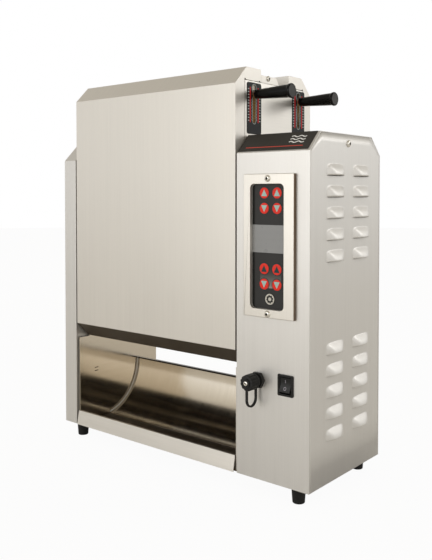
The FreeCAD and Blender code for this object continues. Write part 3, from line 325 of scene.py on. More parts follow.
class Tree:
    """A node tree with one method that adds any node."""

    def __init__(self, nodes):
        self.nodes = nodes
        self.nodes.nodes.clear()

    def node(self, kind, settings=None, inputs=None, output=0):
        """Add a node: its settings first, then the values or links of its sockets."""
        new = self.nodes.nodes.new(kind)
        for key, value in (settings or {}).items():
            if key == "stops":
                self._stops(new.color_ramp, value)
            else:
                setattr(new, key, value)
        for key, value in (inputs or {}).items():
            self.join(new.inputs[key], value)
        return Value(self, new.outputs[output])

    @staticmethod
    def _stops(ramp, stops):
        while len(ramp.elements) < len(stops):
            ramp.elements.new(0.5)
        for element, (position, colour) in zip(ramp.elements, stops):
            element.position = position
            element.color = (*colour, 1.0)

    def join(self, socket, value):
        if isinstance(value, Value):
            self.nodes.links.new(value.socket, socket)
        elif socket.type == "RGBA" and len(value) == 3:
            socket.default_value = (*value, 1.0)
        else:
            socket.default_value = value

    def math(self, operation, *values):
        return self.node("ShaderNodeMath", {"operation": operation}, dict(enumerate(values)))

    def limit(self, value, least=0.0, most=1.0):
        return self.math("MINIMUM", self.math("MAXIMUM", value, least), most)

    def blend(self, factor, first, second):
        """Colour mixed from first to second."""
        return self.node("ShaderNodeMix", {"data_type": "RGBA"}, {0: factor, 6: first, 7: second}, output=2)

    def at(self, scale=(1.0, 1.0, 1.0), shift=(0.0, 0.0, 0.0)):
        """Object coordinates in metres, shifted and scaled."""
        place = self.node("ShaderNodeTexCoord", output=3)
        return self.node("ShaderNodeMapping", {}, {"Vector": place, "Location": shift, "Scale": scale})

    def axes(self):
        """The three Object coordinates as values."""
        place = self.node("ShaderNodeTexCoord", output=3)
        first = self.node("ShaderNodeSeparateXYZ", {}, {0: place})
        outputs = first.socket.node.outputs
        return [Value(self, outputs[i]) for i in range(3)]

    def rays(self):
        """One value for camera rays, and one for rays that a mirror or a glass sends on."""
        paths = self.node("ShaderNodeLightPath").socket.node.outputs
        mirror = Value(self, paths["Is Glossy Ray"]) + Value(self, paths["Is Transmission Ray"])
        return Value(self, paths["Is Camera Ray"]), self.limit(mirror)

    def noise(self, scale, detail=2.0, shift=(0.0, 0.0, 0.0)):
        """Noise whose grains are one unit of the scaled coordinates long."""
        return self.node("ShaderNodeTexNoise", {}, {"Vector": self.at(scale, shift), "Scale": 1.0, "Detail": detail})


class Finish(Tree):
    """A material with one Principled BSDF; what varies feeds its sockets."""

    def __init__(self, name, **constants):
        self.material = bpy.data.materials.new(name)
        self.material.use_nodes = True
        super().__init__(self.material.node_tree)
        self.shader = self.nodes.nodes.new("ShaderNodeBsdfPrincipled")
        output = self.nodes.nodes.new("ShaderNodeOutputMaterial")
        self.nodes.links.new(self.shader.outputs[0], output.inputs["Surface"])
        for key, value in constants.items():
            self.feed(key.replace("_", " "), value)

    def feed(self, socket, value):
        self.join(self.shader.inputs[socket], value)

    def relief(self, height, depth):
        """Bump whose full height is depth metres."""
        self.feed("Normal", self.node("ShaderNodeBump", {}, {"Height": height, "Distance": depth, "Strength": 1.0}))


def steel(name, colour, rough, grain, grain_depth=0.000006, cloud=0.05, tint=None, metal=1.0, shade=None):
    """Brushed stainless sheet: long fine scratches across `grain`, with soft clouds of handling in its gloss.
    `shade` is (axis, sign, limit, colour): where sign times the coordinate passes sign times the limit, the sheet's
    colour is blended to the given colour, which is painted shade."""
    finish = Finish(name, Metallic=metal)
    scratch = finish.noise(grain, 3.0)
    coarse = finish.noise(tuple(g * 0.28 for g in grain), 2.0, (3.1, 1.7, 0.4))
    smear = finish.noise((7.0, 7.0, 5.0), 2.0, (0.3, 0.9, 0.2))
    streak = scratch * 0.6 + coarse * 0.4
    finish.feed("Roughness", finish.limit(rough + (streak - 0.5) * 0.22 + (smear - 0.5) * cloud * 2.0, 0.04, 0.9))
    dark = tuple(c * 0.90 for c in colour)
    light = tuple(min(c * 1.05, 1.0) for c in colour)
    base = finish.blend(streak, dark, light)
    if tint is not None:
        base = finish.blend(finish.limit((smear - 0.42) * 3.0), base, tint)
    # Painted shade: past the limit the colour is blended to a darker colour, unevenly with the smear noise.
    if shade is not None:
        axis, sign, limit, darker = shade
        past = finish.limit((finish.axes()[axis] - limit) * (2500.0 * sign))
        base = finish.blend(past * (0.82 + smear * 0.3), base, darker)
    finish.feed("Base Color", base)
    finish.relief(streak, grain_depth)
    return finish.material


def moulding(name, colour, rough, grain=1800.0, depth=0.00002, gloss=0.3):
    """Moulded black plastic or rubber: fine spark texture, with worn and dusty patches a little paler."""
    finish = Finish(name, Specular_IOR_Level=gloss)
    texture = finish.noise((grain, grain, grain), 2.0)
    dust = finish.limit((finish.noise((40.0, 40.0, 40.0), 4.0) - 0.5) * 2.4)
    pale = tuple(min(c * 2.2 + 0.004, 1.0) for c in colour)
    finish.feed("Base Color", finish.blend(dust, colour, pale))
    finish.feed("Roughness", finish.limit(rough + (texture - 0.5) * 0.12 + dust * 0.10))
    finish.relief(texture, depth)
    return finish.material


def film(name, colour, rough=0.34):
    """Printed polyester film: an even colour with a faint orange-peel gloss and a little dust."""
    finish = Finish(name, Specular_IOR_Level=0.14)
    peel = finish.noise((420.0, 420.0, 420.0), 2.0)
    dust = finish.limit((finish.noise((90.0, 90.0, 90.0), 3.0) - 0.55) * 2.0)
    finish.feed("Base Color", finish.blend(dust * 0.4, colour, tuple(min(c * 1.15 + 0.01, 1.0) for c in colour)))
    finish.feed("Roughness", rough + (peel - 0.5) * 0.08)
    finish.relief(peel, 0.00001)
    return finish.material


def bright(name, colour, rough):
    """Plated or turned metal with fine circular tool marks taken as close noise."""
    finish = Finish(name, Metallic=1.0)
    marks = finish.noise((2600.0, 2600.0, 2600.0), 2.0)
    soil = finish.limit((finish.noise((160.0, 160.0, 160.0), 3.0) - 0.5) * 2.0)
    finish.feed("Base Color", finish.blend(soil * 0.5, colour, tuple(c * 0.62 for c in colour)))
    finish.feed("Roughness", finish.limit(rough + (marks - 0.5) * 0.1 + soil * 0.12))
    finish.relief(marks, 0.000008)
    return finish.material


def belting(name):
    """Coated woven belt: square weave in bump and shade, darkened by toasting in broad patches."""
    finish = Finish(name, Specular_IOR_Level=0.35)
    x, y, z = finish.axes()
    thread = 2.0 * math.pi / (2.2 * MM)
    warp = finish.math("SINE", x * thread)
    weft = finish.math("SINE", (y + z) * thread)
    weave = warp * weft * 0.5 + 0.5
    toast = finish.noise((14.0, 14.0, 9.0), 4.0)
    base = finish.blend(toast, (0.030, 0.020, 0.013), (0.085, 0.058, 0.036))
    finish.feed("Base Color", finish.blend(weave * 0.35, base, (0.014, 0.010, 0.008)))
    finish.feed("Roughness", 0.42 + toast * 0.22)
    finish.relief(weave, 0.00012)
    return finish.material


def casting(name, colour):
    """Cast plate: sandy skin, brown with baked-on crumbs toward one end of a slow noise."""
    finish = Finish(name, Metallic=0.8)
    sand = finish.noise((900.0, 900.0, 900.0), 3.0)
    crust = finish.limit((finish.noise((22.0, 22.0, 22.0), 5.0) - 0.45) * 3.0)
    finish.feed("Base Color", finish.blend(crust, colour, (0.060, 0.038, 0.022)))
    finish.feed("Roughness", 0.45 + crust * 0.25 + (sand - 0.5) * 0.2)
    finish.relief(sand, 0.00006)
    return finish.material


# Width of the near-black painted shadow of the bezel's recess wall along the film's left edge.
RECESS_SHADOW_WIDTH = 4.4 * MM


def keypad_film(name, colour, patch, corner_a, corner_b):
    """Keypad film with a printed panel that fades in downwards between the lower keys, and a near-black painted
    shadow down its left edge.
    """
    finish = Finish(name, Specular_IOR_Level=0.25)
    x, _, z = finish.axes()
    inside = (x > corner_a[0]) * (x < corner_b[0]) * (z > corner_a[2]) * (z < corner_b[2])
    fade = finish.limit((corner_b[2] - z) / (corner_b[2] - corner_a[2]))
    peel = finish.noise((380.0, 380.0, 380.0), 2.0)
    cloud = finish.noise((60.0, 60.0, 60.0), 3.0)
    base = finish.blend(cloud, tuple(c * 0.93 for c in colour), tuple(c * 1.07 for c in colour))
    # Painted shadow: a band along the film's left edge is coloured near black.
    border = (x < low("display_window")[0] + RECESS_SHADOW_WIDTH) * 1.0
    panel = finish.blend(inside * fade * fade, base, patch)
    finish.feed("Base Color", finish.blend(border, panel, (0.004, 0.004, 0.004)))
    finish.feed("Roughness", 0.42 + (peel - 0.5) * 0.08)
    finish.relief(peel, 0.00001)
    return finish.material


def display_glass(name, colour):
    """Smoked display window: faint rows of the segments behind it under a glossy face."""
    finish = Finish(name, Coat_Weight=0.3, Coat_Roughness=0.05, Specular_IOR_Level=0.5)
    row_pitch = 10.2 * MM
    rows = finish.math("SINE", finish.axes()[2] * (2.0 * math.pi / row_pitch)) * 0.5 + 0.5
    haze = finish.noise((55.0, 55.0, 70.0), 3.0)
    finish.feed("Base Color", finish.blend(rows * 0.10 + haze * 0.2, colour, tuple(c * 1.18 for c in colour)))
    finish.feed("Roughness", 0.24 + haze * 0.1)
    return finish.material


def finish_named(name, maker, *values, **settings):
    """The material of that name, made on its first use."""
    found = bpy.data.materials.get(name)
    return found if found else maker(name, *values, **settings)


def coat(node, finish):
    """Give a CAD node its finish and keep its mesh."""
    materials = frame["nodes"][node].data.materials
    materials.clear()
    materials.append(finish)


# Settings that a user would change


def colour_setting(name, description, default):
    return bpy.props.FloatVectorProperty(
        name=name, description=description, default=default, size=3, min=0.0, max=1.0, subtype="COLOR"
    )


def length_setting(name, description, default):
    return bpy.props.FloatProperty(
        name=name, description=description, default=default, min=0.0, unit="LENGTH", subtype="DISTANCE", precision=5
    )


def number_setting(name, description, default, least=0.0, most=10.0):
    return bpy.props.FloatProperty(name=name, description=description, default=default, min=least, max=most)


class ToasterSteel(bpy.types.PropertyGroup):
    """Sheet metal of the housings, covers and chute."""

    face: colour_setting("Skin", "Colour of the brushed outer sheets", (0.74, 0.71, 0.655))
    inside: colour_setting("Chamber", "Colour of the polished sheets round the chute", (0.74, 0.665, 0.55))
    hidden: colour_setting("Frame", "Colour of the inner frames and cams", (0.20, 0.13, 0.075))
    # Painted shade: the colour painted on the covers' sloping returns, the divider's walls and the pan's tray where
    # shade or a dark reflection falls; toasting has not darkened these sheets.
    heated: colour_setting("Heated", "Colour of the sheets that toasting has darkened", (0.125, 0.098, 0.070))
    roughness: number_setting("Roughness", "Blur of the brushed outer sheets", 0.42, 0.05, 0.9)
    polish: number_setting("Polish", "Blur of the polished sheets round the chute", 0.15, 0.02, 0.9)
    edge: length_setting("Edge radius", "Radius that the folded edges are rolled to", 0.0007)
    louvre_out: length_setting("Louvre height", "How far a louvre's lip stands out of the side cover", 0.0085)


class ToasterPrint(bpy.types.PropertyGroup):
    """Keypad, labels and badge."""

    film: colour_setting("Film", "Colour of the keypad film", (0.030, 0.0295, 0.029))
    key: colour_setting("Keys", "Colour of the round keys", (0.83, 0.045, 0.030))
    mark: colour_setting("Arrows", "Colour of the pale arrows", (0.42, 0.60, 0.56))
    dark_mark: colour_setting("Dark arrows", "Colour of the dark arrows", (0.020, 0.060, 0.065))
    bar: colour_setting("Bars", "Colour of the red bars on the lever labels", (0.62, 0.012, 0.016))
    badge: colour_setting("Badge", "Colour of the plate on the control box", (0.040, 0.037, 0.033))
    display: colour_setting("Display", "Colour of the display window", (0.275, 0.28, 0.285))
    raise_by: length_setting("Ink height", "How far a print stands on its film", 0.00006)


class ToasterMoulding(bpy.types.PropertyGroup):
    """Black mouldings: grips, port, switch and feet."""

    black: colour_setting("Black", "Colour of the black mouldings", (0.007, 0.007, 0.007))
    disc: colour_setting("Grip end", "Colour of the disc at a grip's end", (0.034, 0.033, 0.032))
    flutes: bpy.props.IntProperty(name="Flutes", description="Flutes round the port cap", default=12, min=3, max=40)
    strap: length_setting("Strap thickness", "Thickness of the port cap's strap", 0.0028)


class ToasterStage(bpy.types.PropertyGroup):
    """Floor, sky, lamps and camera."""

    floor: colour_setting("Floor", "Colour of the pale floor", (0.62, 0.60, 0.56))
    horizon: number_setting("Horizon", "Sky strength at the horizon", 1.0)
    zenith: number_setting("Zenith", "Sky strength overhead", 0.50)
    ambient: number_setting("Ambient", "Sky strength on dull surfaces", 0.72)
    key_power: bpy.props.FloatProperty(
        name="Key lamp", description="Power of the lamp in front", default=20.0, min=0.0,
        subtype="POWER", unit="POWER",
    )


def steel_settings():
    return bpy.context.scene.toaster_steel


def print_settings():
    return bpy.context.scene.toaster_print


def moulding_settings():
    return bpy.context.scene.toaster_moulding


UPRIGHT = (900.0, 900.0, 9.0)    # scratches that run up and down
FOLDED = (950.0, 10.0, 10.0)     # scratches that run round a folded or rolled sheet
ENDWALL = (9.0, 14.0, 900.0)     # level scratches on the chamber's end walls
LENGTHWAYS = (10.0, 900.0, 900.0)
BRUSHED_METAL = 0.8


def sheet(name, colour, rough, grain, **more):
    return finish_named(name, steel, tuple(colour), rough, grain, **more)


def tinted(colour, factors):
    return [min(c * k, 1.0) for c, k in zip(colour, factors)]


def skin_finish():
    """Brushed skin of the upright sheets, a little cooler than the covers."""
    s = steel_settings()
    return sheet("brushed_skin", tinted(s.face, (0.995, 1.015, 1.055)), s.roughness, UPRIGHT, metal=BRUSHED_METAL)


def fold_finish():
    """Brushed skin of the folded covers, with the sloping return under them painted dark as a painted reflection of a
    dark floor.
    """
    s = steel_settings()
    # Painted reflection: the return below this height faces the floor, so its colour is painted dark brown.
    under = (2, -1.0, low("front_cover")[2] + 25.8 * MM, tuple(s.heated))
    return sheet("brushed_cover", s.face, s.roughness, FOLDED, metal=BRUSHED_METAL, shade=under)


def plate_finish():
    """Brushed side plate round the levers."""
    return sheet("brushed_plate", steel_settings().face, 0.34, ENDWALL, metal=0.85)


def divider_finish():
    """Feed divider: clean roof and tabs over walls painted near black as painted shade for the dark inside seen
    through the lever slots.
    """
    s = steel_settings()
    # Painted shade: below the roof the walls are coloured near black.
    wall = (2, -1.0, high("feed_divider")[2] - 16.0 * MM, tuple(c * 0.35 for c in s.heated))
    return sheet("feed_divider_steel", s.face, s.roughness, FOLDED, metal=BRUSHED_METAL, shade=wall)


def pan_finish():
    """Crumb pan: clean lip, and the tray behind it painted dark as a painted reflection of the dark floor."""
    s = steel_settings()
    # Painted reflection: behind the lip the tray's colour is painted dark brown.
    tray = (1, 1.0, low("crumb_pan")[1] + 5.2 * MM, tuple(s.heated))
    return sheet("crumb_tray", s.face, 0.36, LENGTHWAYS, metal=0.85, shade=tray)


def chute_finish():
    """Polished chute whose top hem is painted near black as a painted shadow along its back top edge."""
    s = steel_settings()
    # Painted shadow: the top 2.6 mm of the chute is coloured near black.
    hem = (2, 1.0, high("bun_chute")[2] - 2.6 * MM, (0.022, 0.016, 0.010))
    return sheet("polished_chute", s.inside, s.polish, (950.0, 12.0, 12.0), cloud=0.04, shade=hem)


def bezel_finish():
    """Pale brushed bezel whose right side wall, turned from the light, is painted brown as painted shade."""
    # Painted shade: the last 0.9 mm of the bezel toward +X is coloured brown.
    wall = (0, 1.0, high("keypad_bezel")[0] - 0.9 * MM, (0.16, 0.11, 0.07))
    return sheet("brushed_bezel", tinted(steel_settings().face, (1.08,) * 3), 0.36, UPRIGHT, metal=0.75, shade=wall)


def wall_finish():
    s = steel_settings()
    return sheet("polished_wall", s.inside, s.polish, ENDWALL, cloud=0.04)


def frame_finish():
    # Dark brown heat tint of the inner frames and base, made this dark partly as painted shade for the inside of the
    # chamber.
    return sheet("heated_steel", steel_settings().hidden, 0.38, (500.0,) * 3, cloud=0.10, tint=(0.10, 0.055, 0.02))


def black_finish():
    return finish_named("black_moulding", moulding, tuple(moulding_settings().black), 0.44)


def screw_finish():
    return finish_named("bright_screw", bright, (0.78, 0.75, 0.68), 0.18)


def recess_shade_finish():
    # Painted shade: the screw sockets and the rivet's eye are coloured near black for the shade inside them.
    return finish_named("screw_recess", moulding, (0.020, 0.014, 0.010), 0.5)


# Pieces


UP = np.array([0.0, 0.0, 1.0])
RIGHT = np.array([1.0, 0.0, 0.0])
FORWARD = np.array([0.0, -1.0, 0.0])


def screw_head(name, origin, axis, radius, body, nodes=()):
    """Pan head turned about its axis, and a hexagonal socket sunk in its crown: both are profiles of
    (along, radius), and the socket's radius swells six times round by a cosine."""
    rise = radius * 0.55
    dome = [(0.0, radius * 0.96), (rise * 0.12, radius), (rise * 0.45, radius * 0.95), (rise * 0.75, radius * 0.80),
            (rise * 0.93, radius * 0.58), (rise, radius * 0.40)]
    walls = [(rise, radius * 0.40), (rise * 0.35, radius * 0.36), (rise * 0.33, 0.0)]

    def lobes(row, angles):
        return 1.0 + 0.10 * np.cos(6.0 * angles) * (row < 2)

    def crown(row, angles):
        return 1.0 + 0.10 * np.cos(6.0 * angles) * (row == 5)

    head = Shape().turn(dome, origin, axis, 48, crown)
    head.build(name, screw_finish(), body, "fasteners", nodes)
    socket = Shape().turn(walls, origin, axis, 48, lobes)
    socket.build(name + "_socket", recess_shade_finish(), body, "fasteners")


def louvre_sheet(x_face, y0, y1, z0, z_top, columns, bases, length, height, out):
    """Side cover as one height field over (y, z).  A louvre is a hipped hood.  With u from end to end and v from its
    lip at 0 to its root at 1, its height is out times a soft least of an end slope, ((1 - |u|) / 0.66) ** 0.72, and
    a roof slope, ((1 - v) / 0.92) ** 0.80.  Below the lip it turns back inwards, and the cells under each lip are
    left open.  z_top(y) is the sloped top edge."""
    across = np.array([0.0, 0.04, 0.10, 0.18, 0.28, 0.40, 0.52, 0.64, 0.76, 0.86, 0.94, 1.0, 1.03])
    across = np.unique(np.concatenate([-across, across]))
    chamfer = 0.029
    border = np.array([0.0, 0.004, chamfer * 0.5, chamfer])
    y = [y0 + border, y1 - border]
    y += [c + across * length / 2.0 for c in columns]
    y = np.unique(np.round(np.concatenate(y), 7))
    lip = np.array([-0.16, -0.11, -0.09, -0.055, -0.02])
    rise = np.array([0.03, 0.10, 0.20, 0.32, 0.45, 0.58, 0.71, 0.83, 0.92, 0.98, 1.0, 1.04])
    z = np.concatenate([[z0]] + [b + np.concatenate([lip, rise]) * height for b in sorted(bases)])
    body_top = z[-1] + 0.004
    grid_z = np.repeat(np.concatenate([z, [body_top]])[:, None], len(y), axis=1)
    extra = np.linspace(0.0, 1.0, 4)[1:, None]
    grid_z = np.vstack([grid_z, body_top + extra * (z_top(y)[None, :] - body_top)])
    grid_y = np.repeat(y[None, :], len(grid_z), axis=0)
    bulge = np.zeros_like(grid_z)
    shut = np.ones(grid_z.shape, bool)
    for b in bases:
        v = (grid_z - b) / height
        near = (v > -0.1) & (v < 1.0)
        fall = np.interp(v, [-0.09, -0.055, -0.02, 0.03], [0.62, 0.86, 0.97, 1.0])
        for c in columns:
            u = np.abs(grid_y - c) / (length / 2.0)
            corner = np.clip(1.0 - u ** 4 - np.clip(v, 0.0, 1.0) ** 4, 0.0, 1.0)
            ends = np.clip((1.0 - u) / 0.66, 0.0, 1.2) ** 0.72
            roof = np.clip((1.0 - v) / 0.92, 0.0, 1.2) ** 0.80
            least = -np.log(np.exp(-9.0 * ends) + np.exp(-9.0 * roof) + np.exp(-9.0)) / 9.0
            shape = np.clip(least, 0.0, 1.0) * corner ** 0.4
            bulge += np.where(near & (u < 1.0), shape * fall, 0.0)
            shut &= ~((np.abs(v + 0.11) < 1e-3) & (u < 0.95))
    points = np.stack([x_face + out * bulge, grid_y, grid_z], axis=-1)
    faces = grid_faces(*grid_z.shape)
    keep = shut.reshape(-1)[faces[:, 0]] | shut.reshape(-1)[faces[:, 3]]
    return points, faces[keep]


class TOASTER_OT_housings(bpy.types.Operator):
    """Left end housing, control box and the louvred side cover with its screw"""

    bl_idname = "toaster.housings"
    bl_label = "Housings"

    def execute(self, context):
        s = steel_settings()
        edge = s.edge
        softened("left_housing", "left_housing_skin", skin_finish(), "left_housing", edge)
        softened("control_box", "control_box_skin", skin_finish(), "control_box", edge)
        cover_low, cover_high = low("right_cover"), high("right_cover")
        x_face = high("control_box")[0]
        centre = middle("control_box")[1]
        length, height, pitch, per_group = 51.5 * MM, 16.0 * MM, 31.9 * MM, 5
        columns = [centre - 34.9 * MM, centre + 42.5 * MM]
        top = high("control_box")[2]
        upper, lower = top - 61.8 * MM, 89.5 * MM
        bases = [upper - pitch * i for i in range(per_group)] + [lower + pitch * i for i in range(per_group)]
        inset = top - cover_high[2]
        shoulder = top - 29.0 * MM - inset * math.tan(math.radians(22.5))

        def z_top(y):
            near = np.minimum(y - cover_low[1], cover_high[1] - y)
            return np.minimum(cover_high[2], shoulder + near)

        points, faces = louvre_sheet(x_face, cover_low[1], cover_high[1], cover_low[2], z_top, columns, bases,
                                     length, height, s.louvre_out)
        cover = Shape().add(points, faces)
        skin = cover.build("side_cover_skin", skin_finish(), "chassis", "right_cover", ("right_cover",), sharp=50.0)
        outward(skin, RIGHT)
        wall = skin.modifiers.new("sheet", "SOLIDIFY")
        wall.thickness = 1.1 * MM
        wall.offset = -1.0
        screw = middle("cover_screw")
        screw_head("side_cover_screw", (x_face, screw[1], screw[2]), RIGHT, 5.4 * MM, "chassis", ("cover_screw",))
        return {"FINISHED"}


def outward(obj, direction):
    """Turn an open sheet's faces so that most of them look along a direction."""
    mesh = obj.data
    normals = np.array([p.normal for p in mesh.polygons])
    areas = np.array([p.area for p in mesh.polygons])
    if (normals @ np.asarray(direction) * areas).sum() < 0.0:
        mesh.flip_normals()


class TOASTER_OT_covers(bpy.types.Operator):
    """Front and rear covers, with their folded edges rolled over"""

    bl_idname = "toaster.covers"
    bl_label = "Covers"

    def execute(self, context):
        edge = steel_settings().edge
        for end in ("front", "rear"):
            softened(end + "_cover", end + "_cover_skin", fold_finish(), "covers", edge)
        return {"FINISHED"}


DIVIDER_SCREW_SHIFT = np.array([0.0, -1.5, 2.0]) * MM    # from the CAD's place to the photograph's


class TOASTER_OT_chamber(bpy.types.Operator):
    """Side plates, platen, feed divider, conveyors and drives"""

    bl_idname = "toaster.chamber"
    bl_label = "Toasting chamber"

    def execute(self, context):
        softened("feed_divider", "feed_divider_skin", divider_finish(), "feed_divider", 0.0005)
        coat("side_plate_left", wall_finish())
        coat("side_plate_right", plate_finish())
        coat("platen", finish_named("cast_platen", casting, (0.30, 0.27, 0.23)))
        roller = finish_named("turned_roller", bright, (0.55, 0.52, 0.48), 0.28)
        gearbox = finish_named("grey_gearbox", moulding, (0.16, 0.165, 0.17), 0.5)
        belt = finish_named("woven_belt", belting)
        for end in ("front", "rear"):
            coat(end + "_conveyor_frame", frame_finish())
            coat(end + "_belt", belt)
            coat(end + "_idler_roller", roller)
            coat(end + "_drive_roller", roller)
            coat(end + "_drive_motor", gearbox)
        lows, highs = low("divider_screws"), high("divider_screws")
        tab = middle("divider_screws") + DIVIDER_SCREW_SHIFT
        right_face = high("feed_divider")[0]
        left_face = low("feed_divider")[0]
        radius = (highs[2] - lows[2]) / 2.0
        screw_head("divider_screw_right", (right_face, tab[1], tab[2]), RIGHT, radius, "chassis", ("divider_screws",))
        screw_head("divider_screw_left", (left_face, tab[1], tab[2]), -RIGHT, radius, "chassis")
        return {"FINISHED"}


def folded(path, thickness, x0, x1):
    """Sheet folded along a (y, z) path and carried from x0 to x1: its second skin is the path moved by the
    thickness along the mitred normal, and both ends are closed by quads between the two skins."""
    path = np.asarray(path, float)
    ahead = np.diff(path, axis=0)
    ahead /= np.linalg.norm(ahead, axis=1)[:, None]
    normal = np.stack([ahead[:, 1], -ahead[:, 0]], axis=1)
    first = np.vstack([normal[:1], normal])
    second = np.vstack([normal, normal[-1:]])
    mitre = (first + second) / (1.0 + np.sum(first * second, axis=1))[:, None]
    other = path + mitre * thickness
    count = len(path)
    loop = np.vstack([path, other[::-1]])
    ends = [np.column_stack([np.full(len(loop), x), loop]) for x in (x0, x1)]
    faces = [list(f) for f in grid_faces(2, 2 * count, wrap_cols=True)]
    for i in range(count - 1):
        cap = [i, i + 1, 2 * count - 2 - i, 2 * count - 1 - i]
        faces.append(cap)
        faces.append([c + 2 * count for c in cap[::-1]])
    return np.vstack(ends), faces


def block(low_corner, high_corner, edge=0.0004):
    """Rectangular bar with its four long upright edges broken, as a pressed outline."""
    (x0, y0, z0), (x1, y1, z1) = low_corner, high_corner
    corners = [(x0, y0, z0), (x1, y0, z0), (x1, y1, z0), (x0, y1, z0)]
    outline = rounded(corners, edge, 2)
    return pressed(outline, [(1.0, 0.0), (1.0, z1 - z0)], UP)


class TOASTER_OT_discharge(bpy.types.Operator):
    """Curved bun chute and the crumb pan with its leaning lip"""

    bl_idname = "toaster.discharge"
    bl_label = "Chute and pan"

    def execute(self, context):
        softened("crumb_pan", "crumb_pan_skin", pan_finish(), "crumb_pan", 0.0005)
        lows, highs = low("bun_chute"), high("bun_chute")
        sheet = 1.2 * MM
        radius = 95.2 * MM
        flange = 9.0 * MM
        fold = 1.6 * MM
        seat = 0.3 * MM
        edge_y = highs[1] - flange
        pan_top = high("base_frame")[2] + 1.4 * MM
        centre_y = low("control_box")[1] + 58.0 * MM
        front_y = low("control_box")[1] + 77.5 * MM
        outer = radius + sheet
        centre_z = pan_top + seat + math.sqrt(outer ** 2 - (front_y - centre_y) ** 2)
        start = math.asin((front_y - centre_y) / outer)
        end = math.pi / 2.0 + (highs[2] - centre_z) / radius
        angles = np.linspace(start, end, 72)
        arc = np.stack([centre_y + radius * np.sin(angles), centre_z - radius * np.cos(angles)], axis=1)
        bend = np.linspace(0.0, 1.0, 5)[1:, None]
        top = highs[2]
        corner = np.array([edge_y + seat, top])
        arc = arc[arc[:, 1] < top - 1.4 * MM]
        roll = arc_between(arc[-1], corner, corner + [fold, 0.0], bend)
        hem_corner = np.array([highs[1], top])
        hem_start = hem_corner - [fold, 0.0]
        hem = arc_between(hem_start, hem_corner, hem_corner - [0.0, fold], bend)
        path = np.vstack([arc, roll, [hem_start], hem, [(highs[1], top - 6.0 * MM)]])
        chute = Shape().add(*folded(path, sheet, lows[0], highs[0]))
        leg = 18.0 * MM
        axis = np.array([centre_y, centre_z])
        bead = axis + (arc - axis) * (1.0 - 2.2 * MM / radius)
        bead = np.column_stack([np.full(len(bead), lows[0] + 1.0 * MM), bead])
        rim = Shape().carry(bead, rectangle(2.5 * MM, 1.5 * MM), RIGHT)
        # Painted highlight: the bead is a pale, nearly non-metallic steel, so that it shows as a bright line whatever
        # light falls on it.
        pale = finish_named("pale_bead", steel, (0.85, 0.81, 0.73), 0.42, (300.0, 300.0, 300.0), metal=0.1)
        rim.build("bun_chute_end_bead", pale, "chute", "bun_chute", sharp=50.0)
        for x in (lows[0], highs[0] - leg):
            chute.add(*block((x, highs[1] - sheet, pan_top + seat), (x + leg, highs[1], top - 5.5 * MM)))
        chute.build("bun_chute_sheet", chute_finish(), "chute", "bun_chute", ("bun_chute",), sharp=40.0)
        return {"FINISHED"}


GRIP = [(0.0, 0.0), (0.0, 5.8), (0.25, 6.5), (0.9, 7.0), (8.0, 7.5), (20.0, 8.2), (34.0, 8.9), (50.0, 9.7),
        (61.0, 10.1), (62.6, 10.2), (63.3, 10.4), (63.9, 10.9), (64.7, 11.2), (66.6, 11.3), (67.6, 11.0),
        (68.2, 10.3), (68.35, 9.7)]
GRIP_END = [(68.35, 9.7), (68.05, 9.4), (68.0, 9.0), (68.1, 4.0), (68.2, 0.0)]


LEVER_TRAVEL = 42.0 * MM    # how far a lever slides down from rest


def slot_mark(y, sign, slot_low, keyhole_z, slot_half):
    """Zigzag line printed beside a lever slot: eight teeth, then a straight neck up to the keyhole's ring."""
    count = 8
    pitch = (LEVER_TRAVEL - 2.0 * slot_half) / count
    inner = y + sign * (slot_half + 0.5 * MM)
    outer = inner + sign * 2.6 * MM
    teeth = []
    for i in range(count):
        teeth += [(inner, slot_low + pitch * i), (outer, slot_low + pitch * (i + 0.5))]
    teeth.append((inner, slot_low + pitch * count))
    angle = np.linspace(-0.75, 0.5 * math.pi, 9)
    ring = 6.0 * MM
    return teeth, [(y + sign * ring * math.cos(a), keyhole_z + ring * math.sin(a)) for a in angle]


def printed(shape, path_yz, x, width, height, closed=False):
    """Add a printed line on a plane that faces +X."""
    path = np.array([(x, y, z) for y, z in path_yz])
    return shape.carry(path, rectangle(width, height), RIGHT, closed)


